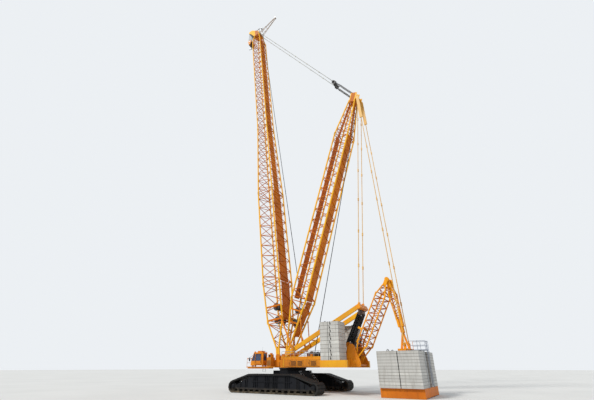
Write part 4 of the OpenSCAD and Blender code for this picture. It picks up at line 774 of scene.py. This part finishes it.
# Upper ballast: painted shade of lug pockets, dark strips down the middle of each side face, and lifting pins
for s, tag in ((1, "left"), (-1, "right")):
    w = Build()
    face = s * STACK_Y1
    x_mid = (STACK_X0 + STACK_X1) // 2
    for i in range(PLATE_N):
        z = STACK_Z0 + i * PLATE_T
        # Painted shade: dark strips and steps where the lug pockets are recessed
        w.box(x_mid + 16, x_mid + 21, face - 1, face + s * 1.6, z + 0.5, z + 47.5)
        shift = -6 if i % 2 else 4
        w.box(x_mid - 22 + shift, x_mid - 8 + shift, face - 1, face + s * 2.2, z + 6, z + 28)
        w.box(x_mid - 14 + shift, x_mid - 6 + shift, face - 1, face + s * 1.8, z + 24, z + 46)
    for x in (-760, -910):
        for y in (s * 240, s * 390):
            w.pin(x, 884, y - 9, y + 9, 9)
    w.done("ballast_pocket_shade_and_pins_" + tag, LUG_STEEL_AND_SHADE, "superstructure", 0.5)
    # Shadow in the joints between the plates, all round the stack
    w = Build()
    for i in range(1, PLATE_N):
        z = STACK_Z0 + i * PLATE_T
        joint(w, STACK_X0, STACK_X1, s * STACK_Y0, s * STACK_Y1, z - 3.2, z + 0.6)
    w.done("ballast_joints_" + tag, JOINT, "superstructure")

# Pallet ballast: shadow in the joints of its four stacks, and lifting eyes on top
w = Build()
for sx in (-1, 1):
    for s in (-1, 1):
        for i in range(1, PALLET_N):
            z = PALLET_Z0 + i * PALLET_T
            joint(w, *sorted((PALLET_X + sx * 5, PALLET_X + sx * 252)), s * 60, s * 430, z - 3, z + 0.4)
w.done("pallet_joint_shadows", JOINT, "pallet")
w = Build()
for sx in (-1, 1):
    for y in (-380, -180, 180, 380):
        x = PALLET_X + sx * 120
        w.path(arch(x, y, PALLET_TOP, 13, 20, 8), 4, 6)
        w.box(x - 20, x + 20, y - 9, y + 9, PALLET_TOP + 0.2, PALLET_TOP + 4.4)
w.done("pallet_lifting_eyes", LUG_STEEL_AND_SHADE, "pallet", 0.6)
# Tie rods down the front and rear of the pallet's stacks, each under a plate
w = Build()
for y in (-150, 150):
    for x in (PALLET_X - 262, PALLET_X + 262):
        w.tube((x, y, 96), (x, y, 500), 4, 8)
        w.box(x - 7, x + 7, y - 12, y + 12, PALLET_TOP, PALLET_TOP + 8)
w.done("pallet_tie_rods", GALV, "pallet", 0.8)

# Tracks: bolted covers of the drive and idler wheels, and the rollers under the top run
COVER = [(0, 30), (5, 30), (8, 24), (14, 18), (16, 15), (16, 0.5)]
COVER_BOLT = [(0, 2.4), (7, 2.2), (7, 0.4)]
for s, tag in ((1, "left"), (-1, "right")):
    cover = Build()
    for x in (-WHEEL_X, WHEEL_X):
        for e in (-1, 1):
            y = s * TRACK_Y + e * 86
            cover.turned(x, WHEEL_Z, [(y + e * a, b) for a, b in COVER], None, 24)
            for k in range(8):
                a = math.pi * k / 4 + 0.2
                bolt_x, bolt_z = x + 26 * math.cos(a), WHEEL_Z + 26 * math.sin(a)
                cover.turned(bolt_x, bolt_z, [(y + e * out, r) for out, r in COVER_BOLT], None, 6)
    cover.done("drive_covers_" + tag, PAINT_DARK, "undercarriage")
    top = Build()
    roller = [(-92, 0.5), (-92, 9), (-88, 11), (88, 11), (92, 9), (92, 0.5)]
    for x in (-280, -95, 95, 280):
        top.turned(x, 198, [(s * TRACK_Y + a, b) for a, b in roller], None, 16)
    top.done("carrier_rollers_" + tag, PAINT_DARK, "undercarriage")

# Cab: side glass in the door and the quarter window, seals, mirror, wiper, rails, lamps and beacon
X0, X1, Y0, Y1, Z0, H = 357, 585, 176, 290, 344, 180
CAB_TOP = Z0 + H
door_x0, door_x1, door_z1, win_z = X0 + 24, X1 - 90, CAB_TOP - 16, Z0 + H * 0.36
yd = Y1 + 2.3
w = Build()
w.box(door_x0 + 5, door_x1 - 5, yd + 1.5, yd + 3.2, win_z - 1, door_z1 - 5)
w.done("door_glass", GLASS, "cab_door")
w = Build()
quarter = [(door_x1 + 6.4, win_z + 0.4), (X1 - 18.5, win_z + 0.4), (X1 - 62.2, door_z1 - 0.4),
           (door_x1 + 6.4, door_z1 - 0.4)]
w.prism(quarter, Y1 - 3.4, Y1 - 1.6)
w.done("quarter_glass", GLASS, "cab")
w = Build()


def frame_of(w, corners, y0, y1, t):
    """A flat border round a window's corners."""
    points = [Vector((x, 0, z)) for x, z in corners]
    n = len(points)
    middle = sum(points, Vector()) / n
    for i in range(n):
        a, b = points[i], points[(i + 1) % n]
        d = (b - a).normalized()
        inward = Vector((d.z, 0, -d.x))
        if inward.dot(middle - a) < 0:
            inward = -inward
        a, b = a - d * 1.2, b + d * 1.2
        rim = [a - inward * 1.5, b - inward * 1.5, b + inward * t, a + inward * t]
        w.prism([(p.x, p.z) for p in rim], y0, y1)


frame_of(w, quarter, Y1 - 1, Y1 + 0.9, 4)
w.box(door_x1 + 8, X1 - 60, Y1 - 2, Y1 - 1, door_z1 - 5, door_z1 - 1)
w.done("quarter_seal", BLACK, "cab", 0.4)
w = Build()
door_window = [(door_x0 + 6, win_z), (door_x1 - 6, win_z), (door_x1 - 6, door_z1 - 6),
               (door_x0 + 6, door_z1 - 6)]
frame_of(w, door_window, yd + 4.4, yd + 6, 4)
w.box(door_x0 + 2, door_x0 + 7, yd + 4.8, yd + 10, win_z - 26, win_z - 6)
w.tube((door_x1 - 8, yd + 9, win_z - 30), (door_x1 - 8, yd + 9, win_z + 46), 1.8, 8)
for z in (win_z - 30, win_z + 46):
    w.tube((door_x1 - 8, yd + 4, z), (door_x1 - 8, yd + 9.6, z), 1.8, 8)
w.done("door_seal_and_handles", BLACK, "cab_door", 0.4)
w = Build()
# Mirror on its two arms, wiper, roof rail and antenna
w.path([(X1 - 20, Y1 - 6, Z0 + 60), (X1 + 14, Y1 + 8, Z0 + 62), (X1 + 22, Y1 + 10, Z0 + 62)], 1.8, 8)
w.path([(X1 - 46, Y1 - 6, Z0 + 150), (X1 + 10, Y1 + 8, Z0 + 112), (X1 + 22, Y1 + 10, Z0 + 104)], 1.8, 8)
w.box(X1 + 16, X1 + 22, Y1 - 6, Y1 + 16, Z0 + 58, Z0 + 108)
w.path([(X1 - 6, Y0 + 40, Z0 + 66), (X1 - 22, Y0 + 46, Z0 + 104), (X1 - 34, Y0 + 50, Z0 + 142)], 1.4, 6)
w.path([(X1 - 50, Y0 + 8, CAB_TOP), (X1 - 50, Y0 + 8, CAB_TOP + 16), (X0 + 20, Y0 + 8, CAB_TOP + 16),
        (X0 + 20, Y0 + 8, CAB_TOP)], 1.8, 8)
w.path([(X0 + 16, Y1 - 10, CAB_TOP - 1), (X0 + 16, Y1 - 10, CAB_TOP + 70)], 1.0, 6)
w.done("cab_fittings", BLACK, "cab", 0.6)
w = Build()
w.turned(0, 0, [(0, 0.5), (0, 7), (8, 6.6), (12, 4), (13, 0.5)],
         lambda x, y, z: (X0 + 126 + x, 233 + z, CAB_TOP + y), 16)
w.done("cab_beacon", AMBER, "cab")
w = Build()
for y in (Y0 + 16, Y1 - 16):
    w.box(X1 - 60.4, X1 - 58.8, y - 7.5, y + 7.5, CAB_TOP + 3, CAB_TOP + 12)
w.done("cab_lamp_lenses", LENS, "cab", 0.5)
w = Build()
for y in (194, 273):
    w.box(X1 + 71.6, X1 + 73.4, y - 7.5, y + 7.5, 434, 448)
w.done("platform_lamp_lenses", LENS, "superstructure", 0.5)
# Seat's armrests with their levers, console and headrest
w = Build()
y = (Y0 + Y1) / 2
for e in (-26, 26):
    w.box(door_x0 + 6, door_x0 + 50, y + e - 4, y + e + 4, Z0 + 58, Z0 + 64)
    w.tube((door_x0 + 46, y + e, Z0 + 62), (door_x0 + 52, y + e, Z0 + 80), 1.6, 8)
    w.pin(door_x0 + 52, Z0 + 82, y + e - 3, y + e + 3, 3, None, 8)
w.box(X1 - 58, X1 - 52, y - 22, y + 22, Z0 + 56, Z0 + 84)
w.tube((door_x0 + 8, y, Z0 + 104), (door_x0 + 4, y, Z0 + 116), 9, 12)
w.done("cab_interior", BLACK, "cab", 1)
# Louvres and vent of the service pod, grating and step of the cab platform
w = Build()
for i in range(5):
    w.box(219, 278, 283.6, 286, 345 + i * 14, 351 + i * 14)
w.box(230, 268, 262.8, 264.2, 455, 488)
w.done("pod_louvres", BLACK, "superstructure", 0.5)
w = Build()
x = 296
while x < 652:
    w.box(x, x + 1.6, 176, 294, 327, 329)
    x += 10
for y in (180, 236, 292):
    w.box(296, 652, y - 1, y + 1, 326.8, 329.4)
for z in (262, 286):
    w.box(300, 350, 283, 297, z, z + 2.5)
for x in (300, 350):
    w.box(x - 2, x + 2, 283, 286, 262, 316)
w.done("platform_grating", GALV, "superstructure")

# Ladder up the boom's foot, and the mast over the head with its beacon and two small drums
w = Build()
for x in (-20, 20):
    w.tube(on_boom(x - 60, 148, 170), on_boom(x - 60, 170, 500), 2, 6)
for i in range(9):
    z = 185 + i * 37
    y = 148 + 22 * (z - 170) / 330
    w.tube(on_boom(-82, y, z), on_boom(-38, y, z), 1.6, 6)
w.done("boom_foot_ladder", GALV, "boom")
w = Build()
w.turned(0, 0, [(0, 0.5), (0, 8), (12, 7.5), (18, 4), (19, 0.5)],
         lambda x, y, z: on_boom(-30 + x, z, BOOM_LEN + 340 + y), 16)
w.done("tip_beacon", AMBER, "boom")
w = Build()
w.tube(on_boom(-30, 0, BOOM_LEN + 72), on_boom(-30, 0, BOOM_LEN + 340), 3, 8)
w.tube(on_boom(-30, -40, BOOM_LEN + 300), on_boom(-30, 40, BOOM_LEN + 300), 2, 6)
for e in (-40, 40):
    w.pin(-30, BOOM_LEN + 312, e - 9, e + 9, 6, on_boom, 10)
w.done("tip_mast", GALV, "boom")

# End caps and oil lines of the guide frame's cylinders
w = Build()
foot_cyl, eye_cyl = Vector((-1022, 0, 500)), Vector(on_guide(120, 0, 420))
d = (eye_cyl - foot_cyl).normalized()
for y in (-CYLINDER_Y, CYLINDER_Y):
    p = foot_cyl + Vector((0, y, 0))
    w.tube(p + d * 186, p + d * 199, 17.5, 20)
    w.tube(p + d * 28, p + d * 36, 17.5, 20)
    line = ((50, 15), (60, 22), (170, 22), (180, 15))
    w.path([p + d * along + Vector((0, 0, up)) for along, up in line], 2, 6)
w.done("cylinder_caps", BLACK, "cylinder_barrels", 0.6)

# Studio floor
floor_mesh = bpy.data.meshes.new("floor")
bm = bmesh.new()
bmesh.ops.create_grid(bm, x_segments=8, y_segments=8, size=60)
bm.to_mesh(floor_mesh)
bm.free()
floor = bpy.data.objects.new("floor", floor_mesh)
bpy.context.scene.collection.objects.link(floor)
floor.location = (0, 0, -0.002)
FLOOR = surface("floor", srgb(214, 214, 212), srgb(206, 206, 204), 0.8, 0.5, 0.9, bump=0.001)
floor_mesh.materials.append(FLOOR)
